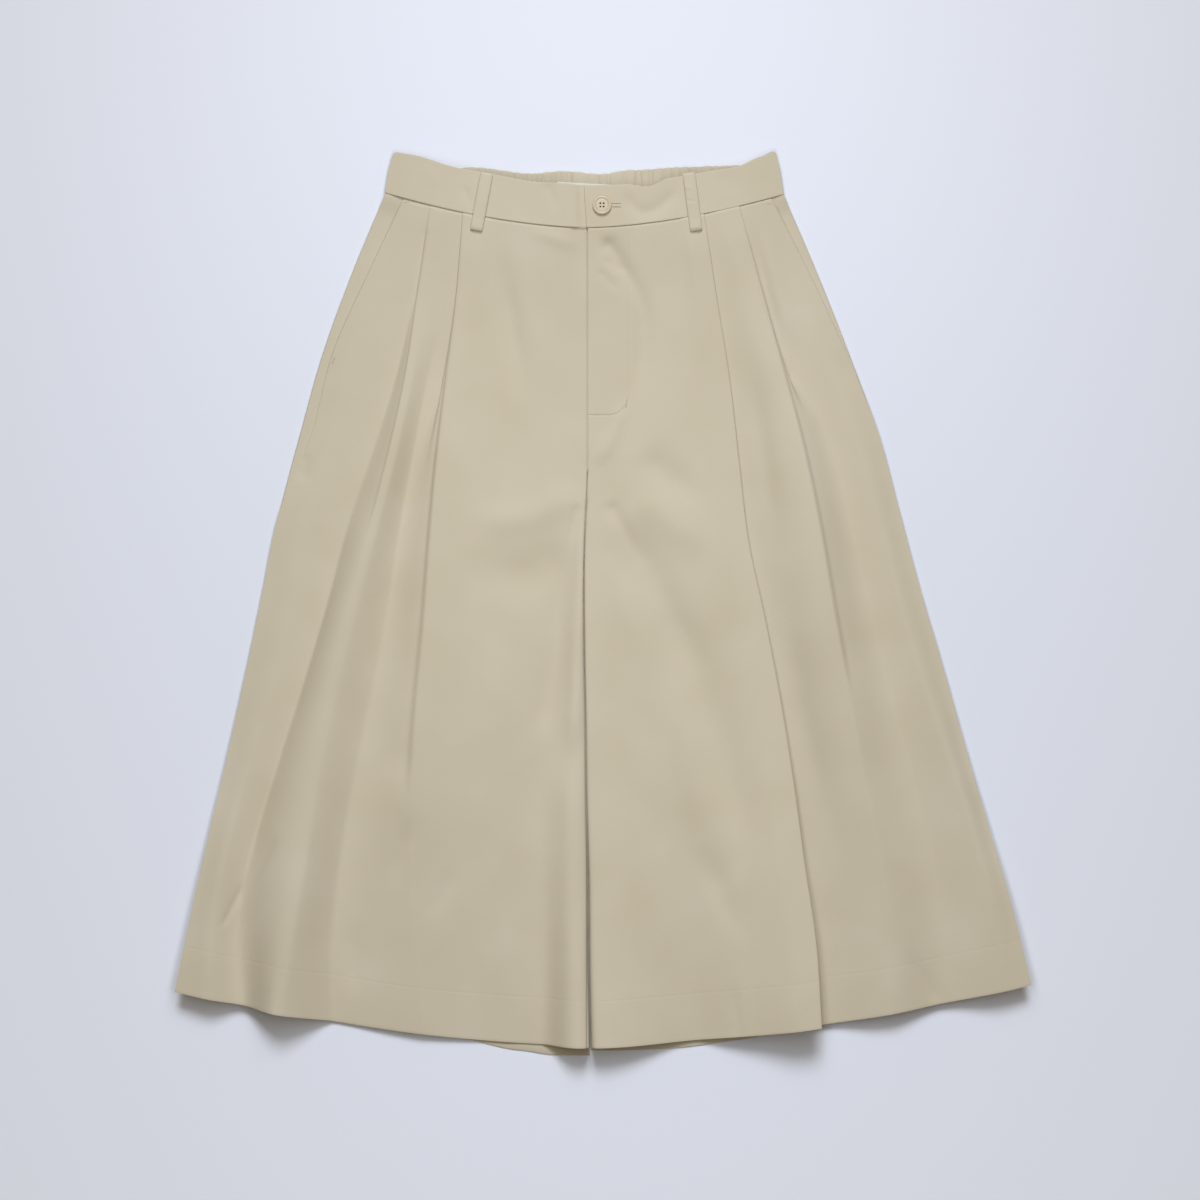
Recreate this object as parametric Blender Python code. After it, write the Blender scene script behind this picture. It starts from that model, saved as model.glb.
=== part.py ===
"""Wide pleated bermuda shorts (culotte), laid flat on a surface, front side up.

Metres, +Z up from the surface and +Y towards the waist. The working frame below is in millimetres:
`x` runs from the centre front to the viewer's right and `y` runs up from the middle of the waist seam.
A leg is worked out in sections from waist (station 0) to hem (station 1). In each section, a place
is a distance from the centre front towards the side, and a height is the middle of the cloth.
"""

import math

import bmesh
import bpy
import numpy as np

MM = 0.001

# Driving sizes, in millimetres.
FRAME_X = -14.4
FRAME_Y = 337.85
CLOTH = 1.0
SEAM_GAP = 0.3
LAYER = 1.4
WAIST_SIDE_RISE = 31.0
FRONT_LENGTH = 737.0
EDGE_CURVE = 1.7
HALF_WAIST = 178.0
WAIST_BULGE = 9.0
BULGE_END = 0.25
BAND_HEIGHT = 37.7
BAND_CLOTH = 2.0
BAND_LEVEL = 5.4
BAND_SIDE_TAPER = 0.035
BACK_RISE = 12.5
GATHERS = 38
GATHER_HEIGHT = 0.9
GATHERED_CLOTH = 1.2
PLEAT_DEPTH = 14.0
CROTCH = 0.305
FLY_END = 0.24
LAP_UNDER_FLY = 12.0
BUTTON_RADIUS = 8.8
BUTTON_THICKNESS = 2.8
LOOP_WIDTH = 10.5
LOOP_THICKNESS = 1.5

BACK_DROP_WIDTH = 120.0
BACK_PAST_FRONT = 0.6
FACING_TUCK = 12.0
BAND_LAP_DROP = 2.4
BAND_CORNER = 5.0
BACK_BAND_LEFT = 178.0
BACK_BAND_RIGHT = 173.0
BACK_BAND_LEVEL = 1.55
LABEL_ENDS = (-27.0, 48.0)
LABEL_TOP = 42.5
LABEL_HEIGHT = 26.0
LABEL_SLANT = -4.0
LABEL_CLOTH = 1.0
LOOP_BELOW_SEAM = 13.0
BUTTON_X = 13.5
BUTTON_Y = 20.2
HOLE_RADIUS = 0.95
HOLE_RING = 2.6

# Height that the front waistband's top edge gains over an even band: x, gain.
FRONT_TOP_TRIM = (
    (-176.0, 0.0),
    (-150.0, 2.2),
    (-120.0, 0.4),
    (-85.0, 1.2),
    (-50.0, 0.0),
    (-22.0, 1.2),
    (8.0, 0.0),
    (32.0, -0.6),
    (56.0, -5.4),
    (73.0, -0.6),
    (105.0, -1.0),
    (136.0, -3.0),
    (156.0, 0.4),
    (168.0, 2.4),
)
# The back waistband's top edge: x, y.
BACK_TOP = (
    (-174.0, 62.0),
    (-124.0, 54.6),
    (-104.0, 55.6),
    (-50.0, 50.0),
    (-22.0, 52.2),
    (12.0, 49.5),
    (39.0, 53.0),
    (88.0, 55.8),
    (112.0, 56.7),
    (138.0, 57.4),
    (168.0, 64.0),
)

STATIONS = np.linspace(0.0, 1.0, 11)

# Outline of each leg, station by station.
LEFT_OUTLINE = (182.7, 212.6, 238.6, 258.9, 277.9, 293.1, 307.8, 323.5, 339.9, 355.7, 370.3)
RIGHT_OUTLINE = (177.6, 208.1, 236.2, 262.4, 281.8, 300.8, 321.5, 341.1, 361.6, 382.2, 399.2)

# Folds of the front panels. Each row is one line that runs from waist to hem: its place at each
# station, then its height at each station.
LEFT_FOLDS = {
    "inner_edge": (
        (0.0, 0.0, 0.0, 0.4, 3.8, 3.9, 2.6, 1.8, 0.1, -0.4, -2.0),
        (4.4, 4.4, 4.4, 4.6, 6.5, 8.0, 8.8, 10.0, 13.0, 18.0, 24.0),
    ),
    "trough": (
        (60.0, 60.0, 56.0, 46.0, 32.0, 27.0, 34.0, 42.0, 41.0, 40.0, 42.0),
        (4.0, 4.2, 4.6, 4.8, 4.6, 4.4, 4.4, 4.2, 3.6, 3.2, 3.0),
    ),
    "panel_middle": (
        (84.0, 88.0, 90.0, 92.0, 92.0, 94.0, 98.0, 102.0, 104.0, 100.0, 96.0),
        (4.0, 4.6, 6.2, 7.8, 8.8, 9.2, 8.6, 7.0, 4.8, 3.4, 2.8),
    ),
    "inner_crest": (
        (111.7, 117.9, 126.9, 135.2, 141.5, 146.8, 153.6, 158.2, 160.0, 155.0, 147.0),
        (6.8, 7.2, 9.0, 11.0, 12.0, 12.5, 12.5, 12.0, 10.0, 8.6, 8.0),
    ),
    "inner_valley": (
        (115.7, 125.3, 138.2, 152.0, 165.2, 176.9, 192.1, 208.6, 222.0, 230.0, 230.0),
        (4.0, 3.8, 3.4, 3.2, 3.0, 3.0, 2.8, 2.8, 2.6, 2.6, 2.6),
    ),
    "outer_crest": (
        (141.4, 153.3, 166.4, 183.6, 200.7, 217.1, 232.6, 245.8, 257.2, 268.9, 279.0),
        (6.8, 7.2, 9.0, 12.0, 14.5, 17.0, 20.0, 24.0, 28.0, 32.0, 35.0),
    ),
    "outer_valley": (
        (144.4, 156.3, 171.0, 193.0, 216.4, 235.1, 256.1, 278.5, 299.7, 314.0, 308.0),
        (4.0, 4.0, 3.6, 3.2, 3.0, 3.0, 3.0, 2.8, 2.6, 2.4, 2.4),
    ),
    "side_ridge": (
        (156.0, 182.0, 212.0, 232.0, 254.0, 268.0, 284.0, 303.0, 321.0, 337.0, 343.0),
        (4.0, 4.2, 5.0, 6.5, 8.0, 9.5, 12.0, 15.0, 19.0, 23.0, 26.0),
    ),
    "side_edge": (
        (165.6, 199.5, 230.5, 249.5, 277.9, 293.1, 307.8, 323.5, 339.9, 355.7, 370.3),
        (4.0, 4.0, 4.2, 4.0, 3.8, 3.8, 4.6, 6.5, 10.0, 15.0, 19.0),
    ),
}
RIGHT_FOLDS = {
    "inner_edge": (
        (1.0, 1.0, 1.0, 1.4, -1.8, -1.9, -0.6, 0.2, 1.9, 2.4, 4.0),
        (4.4, 4.4, 4.4, 4.4, 6.5, 8.0, 9.0, 11.0, 14.5, 19.0, 25.0),
    ),
    "trough": (
        (48.0, 60.0, 62.0, 50.0, 48.0, 60.0, 72.0, 82.0, 90.0, 96.0, 100.0),
        (4.0, 4.3, 4.8, 5.0, 4.6, 4.2, 4.0, 3.8, 3.4, 3.2, 3.0),
    ),
    "panel_middle": (
        (82.0, 88.0, 96.0, 102.0, 108.0, 118.0, 130.0, 142.0, 150.0, 156.0, 160.0),
        (4.0, 4.6, 5.6, 6.6, 7.2, 7.8, 8.4, 9.4, 11.0, 13.0, 14.5),
    ),
    "inner_crest": (
        (105.3, 116.6, 128.2, 136.7, 145.3, 160.5, 174.2, 185.6, 195.3, 205.5, 210.0),
        (6.8, 7.0, 7.6, 8.6, 9.6, 11.0, 13.5, 17.5, 22.5, 28.0, 33.0),
    ),
    "inner_valley": (
        (108.3, 119.6, 131.2, 139.7, 148.3, 163.5, 177.2, 188.6, 199.3, 212.5, 220.0),
        (4.0, 3.8, 3.6, 3.6, 3.6, 3.8, 4.0, 4.4, 5.0, 5.4, 5.8),
    ),
    "outer_crest": (
        (137.0, 157.2, 176.3, 194.5, 209.3, 221.6, 234.7, 247.6, 262.8, 272.0, 274.0),
        (6.8, 7.4, 9.0, 11.0, 13.0, 15.0, 16.5, 17.5, 18.5, 19.5, 20.0),
    ),
    "outer_valley": (
        (140.0, 160.2, 181.0, 200.0, 218.5, 237.3, 262.0, 290.0, 306.0, 310.0, 304.0),
        (4.0, 4.0, 3.6, 3.2, 3.0, 3.0, 3.0, 2.8, 2.6, 2.4, 2.4),
    ),
    "side_ridge": (
        (154.0, 184.0, 214.0, 240.0, 258.0, 276.0, 298.0, 320.0, 340.0, 358.0, 370.0),
        (4.0, 4.2, 5.0, 6.0, 7.5, 9.0, 11.0, 13.5, 16.5, 19.0, 21.0),
    ),
    "side_edge": (
        (166.0, 201.5, 234.0, 262.4, 281.8, 300.8, 321.5, 341.1, 361.6, 382.2, 399.2),
        (4.0, 4.0, 4.2, 4.0, 3.8, 3.8, 4.6, 6.5, 9.5, 14.0, 18.0),
    ),
}

# Each pleat: the station where it starts to open, the one where it lies open, its depth at the hem.
LEFT_PLEATS = {"inner": (0.12, 0.42, 4.0), "outer": (0.10, 0.32, 4.0)}
RIGHT_PLEATS = {"inner": (2.0, 3.0, 20.0), "outer": (0.14, 0.40, 4.0)}

LEFT = {
    "side": -1,
    "outline": LEFT_OUTLINE,
    "folds": LEFT_FOLDS,
    "pleats": LEFT_PLEATS,
    "back_drop": 9.0,
    "hem_rise": 50.0,
    "pocket_end": 0.36,
}
RIGHT = {
    "side": 1,
    "outline": RIGHT_OUTLINE,
    "folds": RIGHT_FOLDS,
    "pleats": RIGHT_PLEATS,
    "back_drop": 3.0,
    "hem_rise": 56.0,
    "pocket_end": 0.21,
}


def smooth(amount):
    amount = min(max(amount, 0.0), 1.0)
    return amount * amount * (3.0 - 2.0 * amount)


def along(values, station):
    """A smooth curve through one value for each of the leg's stations."""
    values = np.array(values)
    slopes = np.gradient(values, STATIONS)
    step = STATIONS[1] - STATIONS[0]
    row = min(int(station / step), len(STATIONS) - 2)
    t = (station - STATIONS[row]) / step
    start = (1.0 + 2.0 * t) * (1.0 - t) ** 2 * values[row] + t * (1.0 - t) ** 2 * step * slopes[row]
    end = t * t * (3.0 - 2.0 * t) * values[row + 1] + t * t * (t - 1.0) * step * slopes[row + 1]
    return float(start + end)


def clear_scene():
    for thing in list(bpy.data.objects):
        bpy.data.objects.remove(thing, do_unlink=True)


def fabric(name, colour, roughness=0.85):
    material = bpy.data.materials.new(name)
    material.use_nodes = True
    shader = material.node_tree.nodes["Principled BSDF"]
    shader.inputs["Base Color"].default_value = (*colour, 1.0)
    shader.inputs["Roughness"].default_value = roughness
    shader.inputs["Metallic"].default_value = 0.0
    return material


def add_mesh(name, points, faces, material):
    """Makes an object from points in the working frame."""
    mesh = bpy.data.meshes.new(name)
    placed = [((x + FRAME_X) * MM, (y + FRAME_Y) * MM, z * MM) for x, y, z in points]
    mesh.from_pydata(placed, [], faces)
    shape = bmesh.new()
    shape.from_mesh(mesh)
    bmesh.ops.recalc_face_normals(shape, faces=shape.faces)
    bmesh.ops.triangulate(shape, faces=shape.faces)
    shape.to_mesh(mesh)
    shape.free()
    thing = bpy.data.objects.new(name, mesh)
    thing.data.materials.append(material)
    bpy.context.scene.collection.objects.link(thing)
    return thing


def offset_section(section, distance):
    """Moves an open line of (place, height) points sideways, with mitred corners."""
    line = np.array(section)
    steps = np.diff(line, axis=0)
    steps /= np.linalg.norm(steps, axis=1)[:, None]
    normals = np.column_stack([-steps[:, 1], steps[:, 0]])
    before = np.vstack([normals[:1], normals])
    after = np.vstack([normals, normals[-1:]])
    corner = before + after
    reach = np.maximum((corner * corner).sum(axis=1) / 2.0, 0.35)
    return line + distance * corner / reach[:, None]


def wall(name, upper, lower, material):
    """Closes two grids of points, above and below the cloth, into one wall."""
    rows = len(upper)
    columns = len(upper[0])
    points = [point for row in upper for point in row] + [point for row in lower for point in row]
    under = rows * columns
    faces = []
    for row in range(rows - 1):
        for column in range(columns - 1):
            a = row * columns + column
            b = a + columns
            faces.append((a, a + 1, b + 1, b))
            faces.append((under + b, under + b + 1, under + a + 1, under + a))
    for row in range(rows - 1):
        for edge in (0, columns - 1):
            a = row * columns + edge
            b = a + columns
            faces.append((a, b, under + b, under + a))
    for column in range(columns - 1):
        for edge in (0, rows - 1):
            a = edge * columns + column
            faces.append((a, a + 1, under + a + 1, under + a))
    return add_mesh(name, points, faces, material)


def bulge(x, station):
    """The front stands off the back at the waist, most at the centre."""
    across = max(0.0, 1.0 - (x / HALF_WAIST) ** 2)
    return WAIST_BULGE * across * max(0.0, 1.0 - station / BULGE_END) ** 2


def height_up(leg, place, station, waist_middle=0.0, hem_drop=0.0):
    """The y of a place on a leg, on edges that curve up towards the side."""
    curve = (abs(place) / along(leg["outline"], station)) ** EDGE_CURVE
    waist = waist_middle + (WAIST_SIDE_RISE - waist_middle) * curve
    hem = -FRONT_LENGTH - hem_drop + (leg["hem_rise"] + hem_drop) * curve
    return waist * (1.0 - station) + hem * station


def fold_point(leg, name, station):
    places, heights = leg["folds"][name]
    return along(places, station), along(heights, station)


def soft_span(start, end, count):
    """Points between two folds, level at both, without the last one."""
    points = []
    for index in range(count):
        t = index / count
        place = start[0] + (end[0] - start[0]) * t
        points.append((place, start[1] + (end[1] - start[1]) * smooth(t)))
    return points


def pleat(leg, which, station):
    """A knife pleat from its crest back under the panel and out to its valley."""
    opens_at, open_at, hem_depth = leg["pleats"][which]
    crest, top = fold_point(leg, which + "_crest", station)
    valley, low = fold_point(leg, which + "_valley", station)
    opened = smooth((station - opens_at) / (open_at - opens_at))
    depth = PLEAT_DEPTH + (hem_depth - PLEAT_DEPTH) * station
    folded = [
        (crest, top - LAYER),
        (crest - depth, low + LAYER),
        (crest - depth, low),
    ]
    points = [(crest, top)]
    for step, (place, height) in enumerate(folded, start=1):
        slope = step / 4.0
        flat_place = crest + (valley - crest) * slope
        flat_height = top + (low - top) * slope
        points.append(
            (
                place + (flat_place - place) * opened,
                height + (flat_height - height) * opened,
            )
        )
    points.append((valley, low))
    reach = (crest - (depth + 2.0) * (1.0 - opened) - 6.0 * opened, top - 0.8 * opened)
    return reach, points


def inner_fold(leg, station):
    """The panel's inner edge: lapped or seamed above the crotch, turned down to the back below it."""
    edge, level = fold_point(leg, "inner_edge", station)
    turned = smooth((station - CROTCH) / 0.05)
    lap = 0.0
    if leg["side"] < 0:
        lap = LAP_UNDER_FLY * smooth((CROTCH - station) / (CROTCH - FLY_END))
        level -= LAYER * (1.0 - turned)
    flat = [(edge - lap, level), (edge - lap + 2.0, level), (edge + 3.0, level)]
    bottom = CLOTH + 0.9
    round_down = [(edge + 2.5, bottom), (edge, bottom + 0.5 * (level - bottom)), (edge + 1.5, level - 0.8)]
    points = []
    for level_point, turned_point in zip(flat, round_down):
        points.append(tuple(np.array(level_point) * (1.0 - turned) + np.array(turned_point) * turned))
    points.append((edge + 8.0, level))
    return points


def front_section(leg, station):
    """The line of the cloth across one front panel, from its inner edge to its side."""
    line = inner_fold(leg, station)
    trough = fold_point(leg, "trough", station)
    middle = fold_point(leg, "panel_middle", station)
    reach, inner_pleat = pleat(leg, "inner", station)
    line += soft_span(line[-1], trough, 3)[1:]
    line += soft_span(trough, middle, 3)
    if reach[0] < middle[0] + 3.0:
        middle = (reach[0] - 3.0, middle[1])
        line[-3:] = soft_span(trough, middle, 3)
    line += [middle, reach]
    line += inner_pleat[:-1]
    reach, outer_pleat = pleat(leg, "outer", station)
    line += soft_span(inner_pleat[-1], reach, 3)
    line += [reach] + outer_pleat[:-1]
    ridge = fold_point(leg, "side_ridge", station)
    edge = fold_point(leg, "side_edge", station)
    line += soft_span(outer_pleat[-1], ridge, 3)
    line += soft_span(ridge, edge, 3) + [edge]
    raised = [(place, height + bulge(place, station)) for place, height in line]
    return raised


def front_leg(leg, name, material, rows=24):
    """One front panel: sections from the waist seam to the hem, given a wall."""
    upper, lower = [], []
    for row in range(rows + 1):
        station = row / rows
        section = front_section(leg, station)
        for grid, distance in ((upper, 0.5 * CLOTH), (lower, -0.5 * CLOTH)):
            moved = offset_section(section, distance)
            grid.append([
                (leg["side"] * place, height_up(leg, place, station), height)
                for place, height in moved
            ])
    return wall(name, upper, lower, material)


def back_height(leg, place, station):
    """The back rests flat, and turns up at the sides where the hem stands off the surface."""
    outline = along(leg["outline"], station)
    valley = fold_point(leg, "outer_valley", station)[0]
    layers_over = 2.0 - smooth((station - leg["pocket_end"]) / 0.04 - 1.0)
    rise = fold_point(leg, "side_edge", station)[1] - layers_over * LAYER - 0.5 * CLOTH
    across = max(0.0, (place - valley) / (outline - valley))
    return 0.5 * CLOTH + max(0.0, rise) * across * across


def back_leg(leg, name, material, rows=16, flat_columns=6, side_columns=7):
    """One back panel, from the back waistband to a hem that hangs lower near the inseam."""
    upper, lower = [], []
    for row in range(rows + 1):
        station = row / rows
        outline = along(leg["outline"], station)
        turned = smooth((station - CROTCH) / 0.05)
        seam = fold_point(leg, "inner_edge", station)[0] - BACK_PAST_FRONT
        inner = SEAM_GAP + (seam - SEAM_GAP) * turned
        valley = fold_point(leg, "outer_valley", station)[0]
        places = list(np.linspace(inner, valley, flat_columns, endpoint=False))
        places += list(np.linspace(valley, outline, side_columns + 1))
        top_row, bottom_row = [], []
        for place in places:
            drop = leg["back_drop"] * (1.0 - smooth(place / BACK_DROP_WIDTH))
            y = height_up(leg, place, station, BACK_RISE, drop)
            height = back_height(leg, place, station)
            top_row.append((leg["side"] * place, y, height + 0.5 * CLOTH))
            bottom_row.append((leg["side"] * place, y, height - 0.5 * CLOTH))
        upper.append(top_row)
        lower.append(bottom_row)
    return wall(name, upper, lower, material)


def pocket_facing(leg, name, material, rows=8, columns=3):
    """The strip that shows between the slanted pocket mouth and the side of the leg."""
    upper, lower = [], []
    for row in range(rows + 1):
        station = leg["pocket_end"] * row / rows
        outline = along(leg["outline"], station) - 0.5
        inner = fold_point(leg, "side_edge", station)[0] - FACING_TUCK
        top_row, bottom_row = [], []
        for column in range(columns + 1):
            place = inner + (outline - inner) * column / columns
            y = height_up(leg, place, station)
            height = back_height(leg, place, station) + LAYER
            top_row.append((leg["side"] * place, y, height + 0.5 * CLOTH))
            bottom_row.append((leg["side"] * place, y, height - 0.5 * CLOTH))
        upper.append(top_row)
        lower.append(bottom_row)
    return wall(name, upper, lower, material)


def seam_y(x, middle=0.0):
    """The waist seam, lowest at the centre front."""
    return middle + (WAIST_SIDE_RISE - middle) * (abs(x) / HALF_WAIST) ** EDGE_CURVE


def past_table(table, x):
    """A smooth curve through a short table of (x, value) rows."""
    places = [row[0] for row in table]
    values = [row[1] for row in table]
    after = min(max(int(np.searchsorted(places, x)), 1), len(places) - 1)
    share = (x - places[after - 1]) / (places[after] - places[after - 1])
    return values[after - 1] + (values[after] - values[after - 1]) * smooth(share)


def band_level(x, lowered=0.0):
    return BAND_LEVEL + bulge(x, 0.0) - lowered


def under_lap(x):
    """The left half of the waistband dips under the right half at the button."""
    return BAND_LAP_DROP * smooth((x + 22.0) / 16.0)


def front_band(name, ends, dip, material, columns=22):
    """Half of the front waistband. `ends` are its two ends along the seam."""
    upper, lower = [], []
    for level in (0.0, 0.35, 0.7, 0.93, 1.0):
        corner = BAND_CORNER * max(0.0, (level - 0.9) / 0.1) ** 2
        top_row, bottom_row = [], []
        for column in range(columns + 1):
            t = column / columns
            seam_x = ends[0] + (ends[1] - ends[0]) * t
            x = seam_x * (1.0 - BAND_SIDE_TAPER * level)
            x += corner * (max(0.0, 1.0 - 8.0 * t) * (ends[0] < -100.0))
            x -= corner * (max(0.0, 8.0 * t - 7.0) * (ends[1] > 100.0))
            top = BAND_HEIGHT + past_table(FRONT_TOP_TRIM, x)
            y = seam_y(seam_x) + SEAM_GAP + top * level
            height = band_level(seam_x, dip(seam_x))
            top_row.append((x, y, height + 0.5 * BAND_CLOTH))
            bottom_row.append((x, y, height - 0.5 * BAND_CLOTH))
        upper.append(top_row)
        lower.append(bottom_row)
    return wall(name, upper, lower, material)


def gather_heights(per_gather):
    """Heights from -1, in the crease between two gathers, to 1 on a gather's back. The gathers are
    uneven in width, and the narrow ones are low."""
    widths = [
        1.0 + 0.42 * math.sin(2.3 * number) + 0.30 * math.sin(5.1 * number + 0.8)
        for number in range(GATHERS)
    ]
    heights = []
    for number, width in enumerate(widths):
        for step in range(per_gather):
            rise = math.sin(math.pi * step / per_gather) ** 0.7
            heights.append(-1.0 + 2.0 * rise * min(1.0, 0.45 + 0.5 * width))
    heights.append(-1.0)
    share = np.repeat(np.array(widths), per_gather) / per_gather
    across = np.concatenate([[0.0], np.cumsum(share)]) / np.sum(share)
    calm = [smooth(t / 0.08) * smooth((1.0 - t) / 0.08) for t in across]
    return across, np.array(heights) * np.array(calm)


def back_band(name, material, points_per_gather=4):
    """The back waistband, gathered by the elastic inside it."""
    across, gathered = gather_heights(points_per_gather)
    upper, lower = [], []
    for level in (0.0, 0.5, 1.0):
        top_row, bottom_row = [], []
        for column, t in enumerate(across):
            seam_x = -BACK_BAND_LEFT + (BACK_BAND_LEFT + BACK_BAND_RIGHT) * t
            x = seam_x * (1.0 - BAND_SIDE_TAPER * level)
            seam = seam_y(seam_x, BACK_RISE) + SEAM_GAP
            y = seam + (past_table(BACK_TOP, x) - seam) * level
            height = BACK_BAND_LEVEL + GATHER_HEIGHT * gathered[column]
            top_row.append((x, y, height + 0.5 * GATHERED_CLOTH))
            bottom_row.append((x, y, height - 0.5 * GATHERED_CLOTH))
        upper.append(top_row)
        lower.append(bottom_row)
    return wall(name, upper, lower, material)


def label(name, material):
    """A bare strip on the inside of the back waistband."""
    level = BACK_BAND_LEVEL + GATHER_HEIGHT + 0.5 * GATHERED_CLOTH + SEAM_GAP
    upper, lower = [], []
    for edge in (LABEL_TOP - LABEL_HEIGHT, LABEL_TOP):
        line = list(zip(LABEL_ENDS, (edge, edge + LABEL_SLANT)))
        upper.append([(x, y, level + LABEL_CLOTH) for x, y in line])
        lower.append([(x, y, level) for x, y in line])
    return wall(name, upper, lower, material)


def belt_loop(name, top_x, bottom_x, material):
    """A strip from the top of the waistband to just under the seam, standing off the band."""
    path = (
        # share of the length from the lower end, height over the band's own level
        (0.0, 2.9),
        (0.08, 3.5),
        (0.24, 4.3),
        (0.5, 4.0),
        (0.76, 3.4),
        (0.92, 2.7),
        (1.0, 2.1),
    )
    middle = 0.5 * (top_x + bottom_x)
    low_y = seam_y(middle) - LOOP_BELOW_SEAM
    high_y = seam_y(middle) + SEAM_GAP + BAND_HEIGHT + 0.5
    upper, lower = [], []
    for share, over in path:
        x = bottom_x + (top_x - bottom_x) * share
        y = low_y + (high_y - low_y) * share
        level = band_level(middle) + over
        edges = [x + side * LOOP_WIDTH for side in (-0.5, -0.42, 0.42, 0.5)]
        crowns = (0.25, 0.0, 0.0, 0.25)
        upper.append([(edge, y, level + 0.5 * LOOP_THICKNESS - c) for edge, c in zip(edges, crowns)])
        lower.append([(edge, y, level - 0.5 * LOOP_THICKNESS + c) for edge, c in zip(edges, crowns)])
    return wall(name, upper, lower, material)


def button(name, material, around=32):
    """A four-hole trouser button with a raised ring round a sunken middle."""
    profile = (
        # share of the radius, share of the thickness
        (0.0, 0.55),
        (0.52, 0.55),
        (0.62, 0.90),
        (0.78, 1.0),
        (0.93, 0.86),
        (1.0, 0.55),
        (0.97, 0.25),
        (0.82, 0.0),
        (0.0, 0.0),
    )
    base = band_level(BUTTON_X) + 0.5 * BAND_CLOTH + SEAM_GAP
    shape = bmesh.new()
    rings = []
    for radius, rise in profile[1:-1]:
        ring = []
        for step in range(around):
            angle = 2.0 * math.pi * step / around
            x = BUTTON_RADIUS * radius * math.cos(angle)
            y = BUTTON_RADIUS * radius * math.sin(angle)
            ring.append(shape.verts.new((x * MM, y * MM, BUTTON_THICKNESS * rise * MM)))
        rings.append(ring)
    for first, second in zip(rings, rings[1:]):
        for step in range(around):
            after = (step + 1) % around
            shape.faces.new((first[step], second[step], second[after], first[after]))
    shape.faces.new(rings[0])
    shape.faces.new(rings[-1])
    bmesh.ops.recalc_face_normals(shape, faces=shape.faces)
    mesh = bpy.data.meshes.new(name)
    shape.to_mesh(mesh)
    shape.free()
    thing = bpy.data.objects.new(name, mesh)
    thing.location = ((BUTTON_X + FRAME_X) * MM, (BUTTON_Y + FRAME_Y) * MM, base * MM)
    thing.data.materials.append(material)
    bpy.context.scene.collection.objects.link(thing)
    for number in range(4):
        angle = math.pi * (0.25 + 0.5 * number)
        bpy.ops.mesh.primitive_cylinder_add(
            vertices=10,
            radius=HOLE_RADIUS * MM,
            depth=4.0 * BUTTON_THICKNESS * MM,
            location=(
                thing.location.x + HOLE_RING * math.cos(angle) * MM,
                thing.location.y + HOLE_RING * math.sin(angle) * MM,
                thing.location.z,
            ),
        )
        cutter = bpy.context.object
        cutter.name = f"button_hole_cutter_{number}"
        cutter.hide_render = True
        cutter.display_type = "WIRE"
        hole = thing.modifiers.new(f"hole_{number}", "BOOLEAN")
        hole.operation = "DIFFERENCE"
        hole.solver = "EXACT"
        hole.object = cutter
    return thing


def no_dip(x):
    return 0.0


clear_scene()
twill = fabric("cotton_twill", (0.578, 0.521, 0.407))
button_plastic = fabric("polyester_button", (0.47, 0.40, 0.29), roughness=0.4)
label_satin = fabric("label_satin", (0.80, 0.80, 0.78), roughness=0.6)
front_leg(LEFT, "front_left_leg", twill)
front_leg(RIGHT, "front_right_leg", twill)
back_leg(LEFT, "back_left_leg", twill)
back_leg(RIGHT, "back_right_leg", twill)
pocket_facing(LEFT, "pocket_facing_left", twill)
pocket_facing(RIGHT, "pocket_facing_right", twill)
front_band("waistband_front_left", (-182.3, 34.0), under_lap, twill)
front_band("waistband_front_right", (-0.3, 177.3), no_dip, twill)
back_band("waistband_back", twill)
label("label_blank", label_satin)
belt_loop("belt_loop_left", -90.0, -99.7, twill)
belt_loop("belt_loop_right", 91.5, 98.3, twill)
button("waist_button", button_plastic)
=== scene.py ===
"""Looks of the wide pleated shorts in sand-coloured cotton twill, laid flat, seen from straight above.

The working frame is the part's own: millimetres, `x` from the centre front to the viewer's right,
`y` up from the middle of the waist seam, heights from the surface. A leg is worked out in sections
from waist (station 0) to hem (station 1): places run from the centre front towards the side.
"""

import math

import bpy
import numpy as np
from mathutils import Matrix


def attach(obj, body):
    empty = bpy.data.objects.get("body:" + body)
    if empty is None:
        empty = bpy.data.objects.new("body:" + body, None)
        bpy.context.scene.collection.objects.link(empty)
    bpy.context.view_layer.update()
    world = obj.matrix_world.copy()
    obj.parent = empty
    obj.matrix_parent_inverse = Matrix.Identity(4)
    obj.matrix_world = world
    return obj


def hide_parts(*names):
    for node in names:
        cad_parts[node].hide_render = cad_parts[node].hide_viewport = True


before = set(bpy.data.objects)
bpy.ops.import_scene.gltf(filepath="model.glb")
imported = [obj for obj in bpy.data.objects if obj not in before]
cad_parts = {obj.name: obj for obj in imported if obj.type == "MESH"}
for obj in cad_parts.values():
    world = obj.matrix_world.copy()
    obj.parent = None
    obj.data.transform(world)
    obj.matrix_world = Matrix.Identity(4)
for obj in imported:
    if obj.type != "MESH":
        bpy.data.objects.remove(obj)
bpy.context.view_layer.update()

MM = 0.001
FRAME_X = -14.4
FRAME_Y = 337.85

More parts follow.
